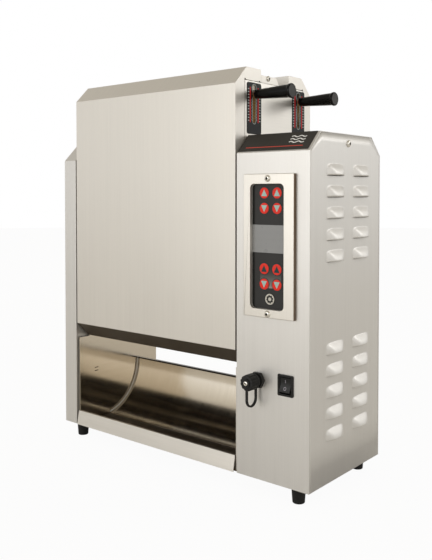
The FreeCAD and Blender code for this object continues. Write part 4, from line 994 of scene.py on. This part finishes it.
class TOASTER_OT_levers(bpy.types.Operator):
    """Compression levers: turned grips and collars, cam plates, and labels with their printed scales"""

    bl_idname = "toaster.levers"
    bl_label = "Levers"

    def execute(self, context):
        ink = print_settings().raise_by
        disc = finish_named("grip_disc", moulding, tuple(moulding_settings().disc), 0.5)
        brass = finish_named("brass_collar", bright, (0.78, 0.60, 0.36), 0.3)
        black = tuple(c * 0.4 for c in moulding_settings().black)
        glossy = finish_named("glossy_grip", moulding, black, 0.17, 900.0, 0.000004, gloss=0.16)
        amber = finish_named("yellow_zinc", steel, (0.72, 0.44, 0.13), 0.42, (400.0, 400.0, 400.0), metal=0.35)
        plate = finish_named("label_film", film, (0.014, 0.014, 0.015))
        white = finish_named("pale_ink", film, (0.50, 0.55, 0.54))
        red = finish_named("red_ink", film, tuple(print_settings().bar))
        for end in ("front", "rear"):
            body = end + "_lever"
            grip, collar, label = end + "_lever_grip", end + "_lever_collar", end + "_lever_label"
            centre = middle(grip)
            origin = (low(grip)[0], centre[1], centre[2])
            profile = np.array(GRIP) * MM
            Shape().turn(profile, origin, RIGHT, 56).build(
                grip + "_turned", glossy, body, "grips", (grip,), sharp=28.0)
            Shape().turn(np.array(GRIP_END) * MM, origin, RIGHT, 56).build(
                grip + "_disc", disc, body, "grips", sharp=60.0)
            coat(collar, brass)
            coat(end + "_lever_cam", amber)
            coat(label, plate)
            y = centre[1]
            face = high(label)[0]
            slot_low = centre[2] - LEVER_TRAVEL
            keyhole = centre[2] + 10.0 * MM
            marks = Shape()
            for sign in (1.0, -1.0):
                teeth, ring = slot_mark(y, sign, slot_low, keyhole, 3.2 * MM)
                printed(marks, teeth + ring, face, 0.75 * MM, ink)
                for i in range(12):
                    z = slot_low + (0.8 + i * 4.45) * MM
                    a, b = y + sign * 12.9 * MM, y + sign * 16.4 * MM
                    printed(marks, [(a, z), (b, z)], face, 1.3 * MM, ink)
            angles = np.linspace(math.pi, 2.0 * math.pi, 9)
            cup = [(y + 4.1 * MM * math.cos(a), slot_low + 4.1 * MM * math.sin(a)) for a in angles]
            printed(marks, cup, face, 0.75 * MM, ink)
            marks.build(end + "_lever_scale", white, "chassis", "labels")
            bars = Shape()
            for sign in (1.0, -1.0):
                a = y + sign * 10.4 * MM
                printed(bars, [(a, slot_low - 2.0 * MM), (a, keyhole + 1.0 * MM)], face, 2.6 * MM, ink)
            bars.build(end + "_lever_bars", red, "chassis", "labels")
        return {"FINISHED"}


def arrow(shape, centre, size, upwards, lift):
    """Triangle with softened corners, pressed a little out of a key that faces -Y."""
    sign = 1.0 if upwards else -1.0
    half = size * 0.52
    corners = [(centre[0] - half, centre[1], centre[2] - sign * size * 0.46),
               (centre[0] + half, centre[1], centre[2] - sign * size * 0.46),
               (centre[0], centre[1], centre[2] + sign * size * 0.54)]
    outline = rounded(corners, size * 0.10, 3)
    return shape.press(outline, [(1.0, 0.0), (1.0, lift), (0.9, lift * 1.3)], FORWARD)


def annulus(shape, centre, inner, outer, lift, axis=FORWARD, waves=0, depth=0.0, segments=48):
    """Flat printed ring, a closed profile turned about the axis; its inner edge may be waved like a gear."""
    profile = [(0.0, outer), (lift, outer), (lift, inner), (0.0, inner), (0.0, outer)]

    def teeth(row, angles):
        on = ((row == 2) | (row == 3)).astype(float)
        return 1.0 + on * depth * np.sign(np.sin(waves * angles)) * np.abs(np.sin(waves * angles)) ** 0.3

    return shape.turn(profile, centre, axis, segments, teeth if waves else None)


class TOASTER_OT_keypad(bpy.types.Operator):
    """Keypad: bezel with screws, film, display, domed keys and their printed arrows"""

    bl_idname = "toaster.keypad"
    bl_label = "Keypad"

    def execute(self, context):
        p = print_settings()
        ink = p.raise_by
        softened("keypad_bezel", "keypad_bezel_skin", bezel_finish(), "keypad_bezel", 0.0005)
        corner_a, corner_b = middle("key_7"), middle("key_6")
        corner_a = corner_a - [7.4 * MM, 0.0, 5.5 * MM]
        corner_b = corner_b + [7.0 * MM, 0.0, 4.0 * MM]
        coat("keypad_membrane", finish_named("keypad_film", keypad_film, tuple(p.film), (0.30, 0.29, 0.27),
                                             tuple(corner_a), tuple(corner_b)))
        coat("display_window", finish_named("display_glass", display_glass, tuple(p.display)))
        coat("control_board", finish_named("circuit_board", film, (0.02, 0.09, 0.04)))
        red = finish_named("key_film", film, tuple(p.key))
        pale = finish_named("pale_arrow", film, tuple(p.mark))
        dark = finish_named("dark_arrow", film, tuple(p.dark_mark))
        film_y = low("keypad_membrane")[1]
        halo = Shape()
        for i in range(1, 9):
            node = "key_%d" % i
            centre = middle(node)
            radius = half_width(node)
            back = high(node)[1]
            origin = (centre[0], back, centre[2])
            profile = [(0.0, 0.0), (0.0, radius), (0.30 * MM, radius), (0.48 * MM, radius * 0.965),
                       (0.58 * MM, radius * 0.88), (0.60 * MM, radius * 0.6), (0.60 * MM, 0.0)]
            Shape().turn(profile, origin, FORWARD, 48).build(node + "_dome", red, node, "keys", (node,))
            face = (centre[0], back - 0.60 * MM, centre[2])
            upwards = i in (1, 2, 5, 6)
            ink_finish = dark if i in (5, 6) else pale
            arrow(Shape(), face, radius * 1.25, upwards, ink).build(node + "_arrow", ink_finish, node, "keys")
            annulus(halo, (centre[0], film_y, centre[2]), radius * 1.03, radius * 1.15, ink)
        halo.build("key_halos", finish_named("teal_ring", film, (0.012, 0.055, 0.058)), "chassis", "keypad")
        ring = middle("key_9")
        radius = half_width("key_9")
        coat("key_9", finish_named("key_film_dark", film, tuple(p.film)))
        face = (ring[0], low("key_9")[1], ring[2])
        marks = Shape()
        annulus(marks, face, radius * 0.72, radius * 0.99, ink, waves=8, depth=0.09, segments=96)
        marks.turn([(0.0, radius * 0.34), (ink, radius * 0.34), (ink, 0.0)], face, FORWARD, 40)
        marks.build("key_9_rings", finish_named("pale_ring", film, (0.62, 0.60, 0.54)), "key_9", "ring_key")
        screw_x = middle("bezel_screws")[0]
        bezel_face = low("keypad_bezel")[1]
        lows, highs = low("bezel_screws"), high("bezel_screws")
        radius = 5.1 * MM
        for name, z in (("upper", highs[2] - 4.0 * MM), ("lower", lows[2] + 4.0 * MM)):
            nodes = ("bezel_screws",) if name == "upper" else ()
            screw_head("bezel_screw_" + name, (screw_x, bezel_face, z), FORWARD, radius, "chassis", nodes)
        return {"FINISHED"}


class TOASTER_OT_badge(bpy.types.Operator):
    """Dark plate on the control box's slope, with three plain level waves and a pinstripe"""

    bl_idname = "toaster.badge"
    bl_label = "Badge plate"

    def execute(self, context):
        p = print_settings()
        ink = p.raise_by
        softened("badge_plate", "badge_plate_skin", finish_named("badge_film", film, tuple(p.badge)), "badge", 0.0002)
        lows, highs = low("badge_plate"), high("badge_plate")
        slope = np.array([0.0, 1.0, 1.0]) / math.sqrt(2.0)
        normal = np.array([0.0, -1.0, 1.0]) / math.sqrt(2.0)
        thick = 0.6 * MM
        foot = np.array([0.0, lows[1] + thick / math.sqrt(2.0), lows[2]]) + normal * thick
        length = (highs[1] - lows[1] - thick / math.sqrt(2.0)) * math.sqrt(2.0)

        def on_plate(points):
            return np.array([foot + RIGHT * x + slope * s for x, s in points])

        waves = Shape()
        along = np.linspace(0.0, 1.0, 49)
        for row in range(3):
            x = lows[0] + (86.0 + 26.0 * along) * MM
            rise = length * (0.42 + 0.16 * row) + 1.3 * MM * np.sin(along * 4.0 * math.pi)
            waves.carry(on_plate(np.stack([x, rise], axis=1)), rectangle(1.8 * MM, ink), normal)
        waves.build("badge_waves", finish_named("white_ink", film, (0.80, 0.80, 0.78)), "chassis", "badge")
        points = on_plate([(lows[0] + 12.0 * MM, length * 0.20), (lows[0] + 114.0 * MM, length * 0.20)])
        red = finish_named("badge_red", film, (0.60, 0.07, 0.05))
        Shape().carry(points, rectangle(1.5 * MM, ink), normal).build("badge_stripe", red, "chassis", "badge")
        return {"FINISHED"}


class TOASTER_OT_port(bpy.types.Operator):
    """Data port: hexagonal nut, ringed barrel, fluted cap, rivet and the strap that holds the cap"""

    bl_idname = "toaster.port"
    bl_label = "Data port"

    def execute(self, context):
        m = moulding_settings()
        centre = middle("port_cap")
        wall = low("control_box")[1]
        origin = np.array([centre[0], wall, centre[2]])
        radius = half_width("port_cap")
        front = wall - low("port_cap")[1]
        back = wall - high("port_cap")[1]
        profile = [(back, 0.0), (back, radius * 0.90), (back + 0.5 * MM, radius * 0.97), (back + 1.6 * MM, radius),
                   (back + 2.2 * MM, radius), (back + 3.0 * MM, radius * 0.93), (back + 3.6 * MM, radius * 0.93),
                   (back + 4.4 * MM, radius), (back + 6.0 * MM, radius), (front - 2.2 * MM, radius),
                   (front - 0.9 * MM, radius * 0.975), (front - 0.25 * MM, radius * 0.92), (front, radius * 0.84),
                   (front, radius * 0.42), (front - 0.3 * MM, radius * 0.38), (front - 0.3 * MM, 0.0)]
        flutes = m.flutes

        def fluted(row, angles):
            on = ((row >= 8) & (row <= 12)).astype(float)
            return 1.0 - on * 0.085 * (0.5 + 0.5 * np.cos(flutes * angles)) ** 3

        Shape().turn(profile, origin, FORWARD, 144, fluted).build(
            "port_cap_fluted", black_finish(), "cap", "port", ("port_cap",), sharp=32.0)
        barrel = Shape()
        nut = [(math.cos(a), math.sin(a)) for a in np.radians(np.arange(0.0, 360.0, 60.0))]
        outline = np.array([origin + half_width("port_body") * (c * RIGHT + s * UP) for c, s in nut])
        outline = rounded(outline, 0.7 * MM, 2)
        barrel.press(outline, [(0.97, 0.0), (1.0, 0.4 * MM), (1.0, 3.7 * MM), (0.93, 4.5 * MM)], FORWARD)
        ridges = [(4.4, 0.0), (4.4, 7.0), (6.5, 7.0), (6.5, 9.0), (6.9, 9.5), (7.5, 9.5), (7.9, 9.0), (8.3, 9.0),
                  (8.7, 9.5), (9.3, 9.5), (9.7, 9.0), (10.1, 9.0), (10.5, 9.5), (12.0, 9.5), (17.8, 9.3), (18.0, 9.0),
                  (18.0, 0.0)]
        barrel.turn(np.array(ridges) * MM, origin, FORWARD, 56)
        barrel.build("port_barrel", black_finish(), "chassis", "port", ("port_body",), sharp=30.0)
        self.strap(origin, front, m.strap)
        rivet_low = low("strap_rivet")
        reach = wall - rivet_low[1]
        start = reach - (high("strap_rivet")[1] - rivet_low[1])
        crown = [(start, 3.3), (start + 0.3 * MM, 3.4), (start + 0.9 * MM, 3.1), (reach - 0.12 * MM, 2.3),
                 (reach, 1.75), (reach - 0.1 * MM, 1.35)]
        crown = [(a, r * MM) for a, r in crown]
        eye = [(reach - 0.1 * MM, 1.35 * MM), (start + 0.2 * MM, 1.25 * MM), (start + 0.2 * MM, 0.0)]
        Shape().turn(crown, origin, FORWARD, 40).build(
            "port_rivet", screw_finish(), "chassis", "fasteners", ("strap_rivet",))
        Shape().turn(eye, origin, FORWARD, 40).build("port_rivet_eye", recess_shade_finish(), "chassis", "fasteners")
        return {"FINISHED"}

    @staticmethod
    def strap(origin, front, thickness):
        """Band carried down from one eyelet, round a half circle and up to the other, with both eyelets turned."""
        eyelet = 1.6 * MM
        near = front + 0.2 * MM
        far = 4.5 * MM + 0.2 * MM
        drop = 38.0 * MM
        outer = (near - far) / 2.0
        radius = outer - thickness / 2.0
        middle_y = (near + far) / 2.0
        bend = drop - outer
        angles = np.linspace(0.0, math.pi, 25)
        arc = np.stack([middle_y + radius * np.cos(angles), -bend - radius * np.sin(angles)], axis=1)
        rise = np.linspace(0.0, 1.0, 9)[1:-1, None]
        first_top = np.array([middle_y + radius, -4.0 * MM])
        last_top = np.array([middle_y - radius, -10.0 * MM])
        first = first_top + (arc[0] - first_top) * rise
        last = arc[-1] + (last_top - arc[-1]) * rise
        path = np.vstack([[first_top], first, arc, last, [last_top]])
        path = np.array([origin + FORWARD * a + UP * z for a, z in path])
        half = 2.0 * MM
        t = thickness / 2.0
        section = [(-t, -half * 0.6), (-t * 0.6, -half), (t * 0.6, -half), (t, -half * 0.6), (t, half * 0.6),
                   (t * 0.6, half), (-t * 0.6, half), (-t, half * 0.6)]
        strap = Shape().carry(path, section, RIGHT)
        soft = 0.25 * MM
        disc = [(near, 0.0), (near, 6.3), (near + soft, 6.5), (near + eyelet - soft, 6.5), (near + eyelet, 6.2)]
        disc = [(a, r if r == 0.0 else r * MM) for a, r in disc] + [(near + eyelet, 0.0)]
        strap.turn(disc, origin, FORWARD, 48)
        washer = [(far, 7.1), (far, 11.5), (far + soft, 11.8), (far + eyelet - soft, 11.8), (far + eyelet, 11.5),
                  (far + eyelet, 7.1), (far, 7.1)]
        washer = [(a, r * MM) for a, r in washer]
        strap.turn(washer, origin, FORWARD, 56)
        rubber = finish_named("strap_rubber", moulding, tuple(moulding_settings().black), 0.5, 1200.0)
        strap.build("port_strap_band", rubber, "chassis", "strap", ("port_strap",), sharp=32.0)


class TOASTER_OT_rocker(bpy.types.Operator):
    """Rocker switch: frame, rocker and the plain on and off marks"""

    bl_idname = "toaster.rocker"
    bl_label = "Rocker switch"

    def execute(self, context):
        gloss = finish_named("switch_plastic", moulding, tuple(moulding_settings().black), 0.3, 2600.0, 0.00001)
        softened("rocker_frame", "rocker_frame_skin", gloss, "switch", 0.0005, segments=3)
        softened("rocker", "rocker_skin", gloss, "switch", 0.0004, segments=3)
        pivot = Vector((middle("rocker")[0], low("control_box")[1] + 3.0 * MM, middle("rocker_frame")[2]))
        tilt = -math.radians(9.0)
        turn = Matrix.Translation(pivot) @ Matrix.Rotation(tilt, 4, "X") @ Matrix.Translation(-pivot)
        wall = low("control_box")[1]
        ridge_y, end_y, reach = wall - 0.6 * MM, wall - 3.4 * MM, 12.0 * MM
        ink = finish_named("lilac_ink", film, (0.42, 0.40, 0.46))

        def on_face(x, s, upper):
            """Point on a rocker face, s metres from the ridge, before the rocker is turned."""
            z = s if upper else -s
            y = ridge_y + (end_y - ridge_y) * s / reach
            return turn @ Vector((pivot.x + x, y, pivot.z + z))

        marks = Shape()
        for upper, kind in ((True, "bar"), (False, "ring")):
            a, b = on_face(0.0, 3.0 * MM, upper), on_face(0.0, 7.5 * MM, upper)
            along = np.array(b - a)
            along /= np.linalg.norm(along)
            normal = np.cross(along, RIGHT)
            normal *= -1.0 if normal[1] > 0.0 else 1.0
            if kind == "bar":
                path = np.array([a, b])
                marks.carry(path, rectangle(0.7 * MM, 0.05 * MM), normal)
            else:
                centre = (np.array(a) + np.array(b)) / 2.0
                loop = np.array([centre + 1.9 * MM * math.cos(t) * RIGHT + 2.3 * MM * math.sin(t) * along
                                 for t in np.linspace(0.0, 2.0 * math.pi, 28, endpoint=False)])
                marks.carry(loop, rectangle(0.7 * MM, 0.05 * MM), normal, closed=True)
        marks.build("rocker_marks", ink, "rocker", "switch")
        return {"FINISHED"}


class TOASTER_OT_underside(bpy.types.Operator):
    """Base plate, moulded feet and the cord gland at the back"""

    bl_idname = "toaster.underside"
    bl_label = "Base, feet and gland"

    def execute(self, context):
        coat("base_frame", frame_finish())
        rubber = finish_named("foot_rubber", moulding, tuple(moulding_settings().black), 0.55, 1400.0, 0.00003)
        for node in ("foot_front_left", "foot_front_right", "foot_rear_left", "foot_rear_right"):
            lows, highs = low(node), high(node)
            centre = middle(node)
            tall = highs[2] - lows[2]
            wide = half_width(node)
            profile = [(0.0, 0.0), (0.0, wide * 0.78), (0.6 * MM, wide * 0.835), (2.0 * MM, wide * 0.85),
                       (tall - 4.0 * MM, wide * 0.965), (tall - 3.2 * MM, wide), (tall, wide), (tall, 0.0)]
            Shape().turn(profile, (centre[0], centre[1], lows[2]), UP, 40).build(
                node + "_moulded", rubber, "chassis", "feet", (node,), sharp=30.0)
        softened("cord_gland", "cord_gland_moulded", black_finish(), "gland", 0.0004)
        return {"FINISHED"}


CAMERA_PLACE = (0.82246, -0.97432, 0.45168)
CAMERA_TURN = math.radians(39.63)
CAMERA_TIP = math.radians(1.53)
FOCAL_PIXELS = 731.07
CENTRE_X = 215.81
CENTRE_Y = 214.07


class TOASTER_OT_stage(bpy.types.Operator):
    """Camera, pale floor, sky and lamps"""

    bl_idname = "toaster.stage"
    bl_label = "Stage"

    def execute(self, context):
        self.camera(context)
        self.floor()
        self.sky(context)
        self.lamps()
        context.scene.view_settings.view_transform = "Standard"
        return {"FINISHED"}

    @staticmethod
    def camera(context):
        data = bpy.data.cameras.new("product_camera")
        data.sensor_fit = "AUTO"
        data.sensor_width = 36.0
        longest = max(IMAGE_W, IMAGE_H)
        data.lens = FOCAL_PIXELS * data.sensor_width / longest
        data.shift_x = (IMAGE_W / 2.0 - CENTRE_X) / longest
        data.shift_y = -(IMAGE_H / 2.0 - CENTRE_Y) / longest
        data.clip_start = 0.01
        data.clip_end = 50.0
        camera = linked("product_camera", data)
        camera.location = CAMERA_PLACE
        camera.rotation_euler = (math.pi / 2.0 - CAMERA_TIP, 0.0, CAMERA_TURN)
        context.scene.camera = camera

    @staticmethod
    def floor():
        finish = Finish("pale_floor", Roughness=0.8, Specular_IOR_Level=0.2)
        s = bpy.context.scene.toaster_stage
        cloud = finish.noise((3.0, 3.0, 3.0), 2.0)
        tone = tuple(s.floor)
        finish.feed("Base Color", finish.blend(cloud, tuple(c * 0.985 for c in tone), tone))
        camera, mirror = finish.rays()
        glow = finish.node("ShaderNodeEmission", {}, {"Color": (1.0, 1.0, 1.0), "Strength": 1.0})
        factor = finish.limit(camera * 0.955 + mirror * 0.16)
        plain = Value(finish, finish.shader.outputs[0])
        mixed = finish.node("ShaderNodeMixShader", {}, {0: factor, 1: plain, 2: glow})
        output = next(n for n in finish.nodes.nodes if n.type == "OUTPUT_MATERIAL")
        finish.nodes.links.new(mixed.socket, output.inputs["Surface"])
        profile = [(0.0, radius) for radius in (0.0, 0.6, 1.5, 4.0, 9.0)]
        points, faces = turned(profile, (0.0, 0.0, -0.0002), UP, 64)
        mesh = bpy.data.meshes.new("studio_floor")
        mesh.from_pydata(points.reshape(-1, 3).tolist(), [], faces.tolist())
        mesh.materials.append(finish.material)
        plane = linked("studio_floor", mesh)
        outward(plane, UP)

    @staticmethod
    def sky(context):
        s = context.scene.toaster_stage
        world = bpy.data.worlds.new("studio_sky")
        context.scene.world = world
        world.use_nodes = True
        tree = Tree(world.node_tree)
        place = tree.node("ShaderNodeTexCoord", output=0)
        parts = tree.node("ShaderNodeSeparateXYZ", {}, {0: place}).socket.node.outputs
        lift = tree.limit(Value(tree, parts[2]))
        camera, mirror = tree.rays()
        height = tree.limit(lift * 1.25)
        strength = s.horizon + (s.zenith - s.horizon) * height
        shown = camera + (1.0 - camera) * (mirror * strength + (1.0 - mirror) * s.ambient)
        warm = tree.blend((1.0 - camera) * height, (1.0, 1.0, 1.0), (1.0, 0.93, 0.81))
        back = tree.node("ShaderNodeBackground", {}, {"Color": warm, "Strength": shown})
        output = tree.nodes.nodes.new("ShaderNodeOutputWorld")
        tree.nodes.links.new(back.socket, output.inputs["Surface"])

    @staticmethod
    def lamps():
        s = bpy.context.scene.toaster_stage
        for name, place, aim, size, power in (
                ("key_lamp", (-0.7, -3.0, 0.6), (0.05, 0.0, 0.30), 1.8, s.key_power),
                ("side_lamp", (2.9, -0.7, 1.1), (0.2, 0.0, 0.35), 1.5, s.key_power * 0.25),
                ("back_lamp", (2.2, 2.2, 1.6), (0.2, 0.0, 0.45), 1.1, s.key_power * 0.42)):
            data = bpy.data.lights.new(name, "AREA")
            data.shape = "SQUARE"
            data.size = size
            data.energy = power
            lamp = linked(name, data)
            lamp.location = place
            lamp.rotation_euler = (Vector(place) - Vector(aim)).to_track_quat("Z", "Y").to_euler()


class TOASTER_PT_pieces(bpy.types.Panel):
    """Buttons for the toaster's pieces, with the settings they use"""

    bl_idname = "TOASTER_PT_pieces"
    bl_label = "Toaster"
    bl_space_type = "VIEW_3D"
    bl_region_type = "UI"
    bl_category = "Toaster"

    def draw(self, context):
        for name in ("toaster_steel", "toaster_print", "toaster_moulding", "toaster_stage"):
            group = getattr(context.scene, name)
            column = self.layout.column(align=True)
            for key in group.bl_rna.properties.keys():
                if key not in ("rna_type", "name"):
                    column.prop(group, key)
        for operator in OPERATORS:
            self.layout.operator(operator.bl_idname)


GROUPS = {
    "toaster_steel": ToasterSteel,
    "toaster_print": ToasterPrint,
    "toaster_moulding": ToasterMoulding,
    "toaster_stage": ToasterStage,
}
OPERATORS = (
    TOASTER_OT_stage,
    TOASTER_OT_housings,
    TOASTER_OT_covers,
    TOASTER_OT_chamber,
    TOASTER_OT_discharge,
    TOASTER_OT_levers,
    TOASTER_OT_keypad,
    TOASTER_OT_badge,
    TOASTER_OT_port,
    TOASTER_OT_rocker,
    TOASTER_OT_underside,
)


def register():
    for name, group in GROUPS.items():
        bpy.utils.register_class(group)
        setattr(bpy.types.Scene, name, bpy.props.PointerProperty(type=group))
    for operator in OPERATORS:
        bpy.utils.register_class(operator)
    bpy.utils.register_class(TOASTER_PT_pieces)


def unregister():
    bpy.utils.unregister_class(TOASTER_PT_pieces)
    for operator in reversed(OPERATORS):
        bpy.utils.unregister_class(operator)
    for name, group in reversed(GROUPS.items()):
        delattr(bpy.types.Scene, name)
        bpy.utils.unregister_class(group)


def plain(corners):
    return [[float(c) for c in corner] for corner in corners]


def main():
    register()
    for operator in OPERATORS:
        group, name = operator.bl_idname.split(".")
        getattr(getattr(bpy.ops, group), name)()


if __name__ == "__main__":
    main()
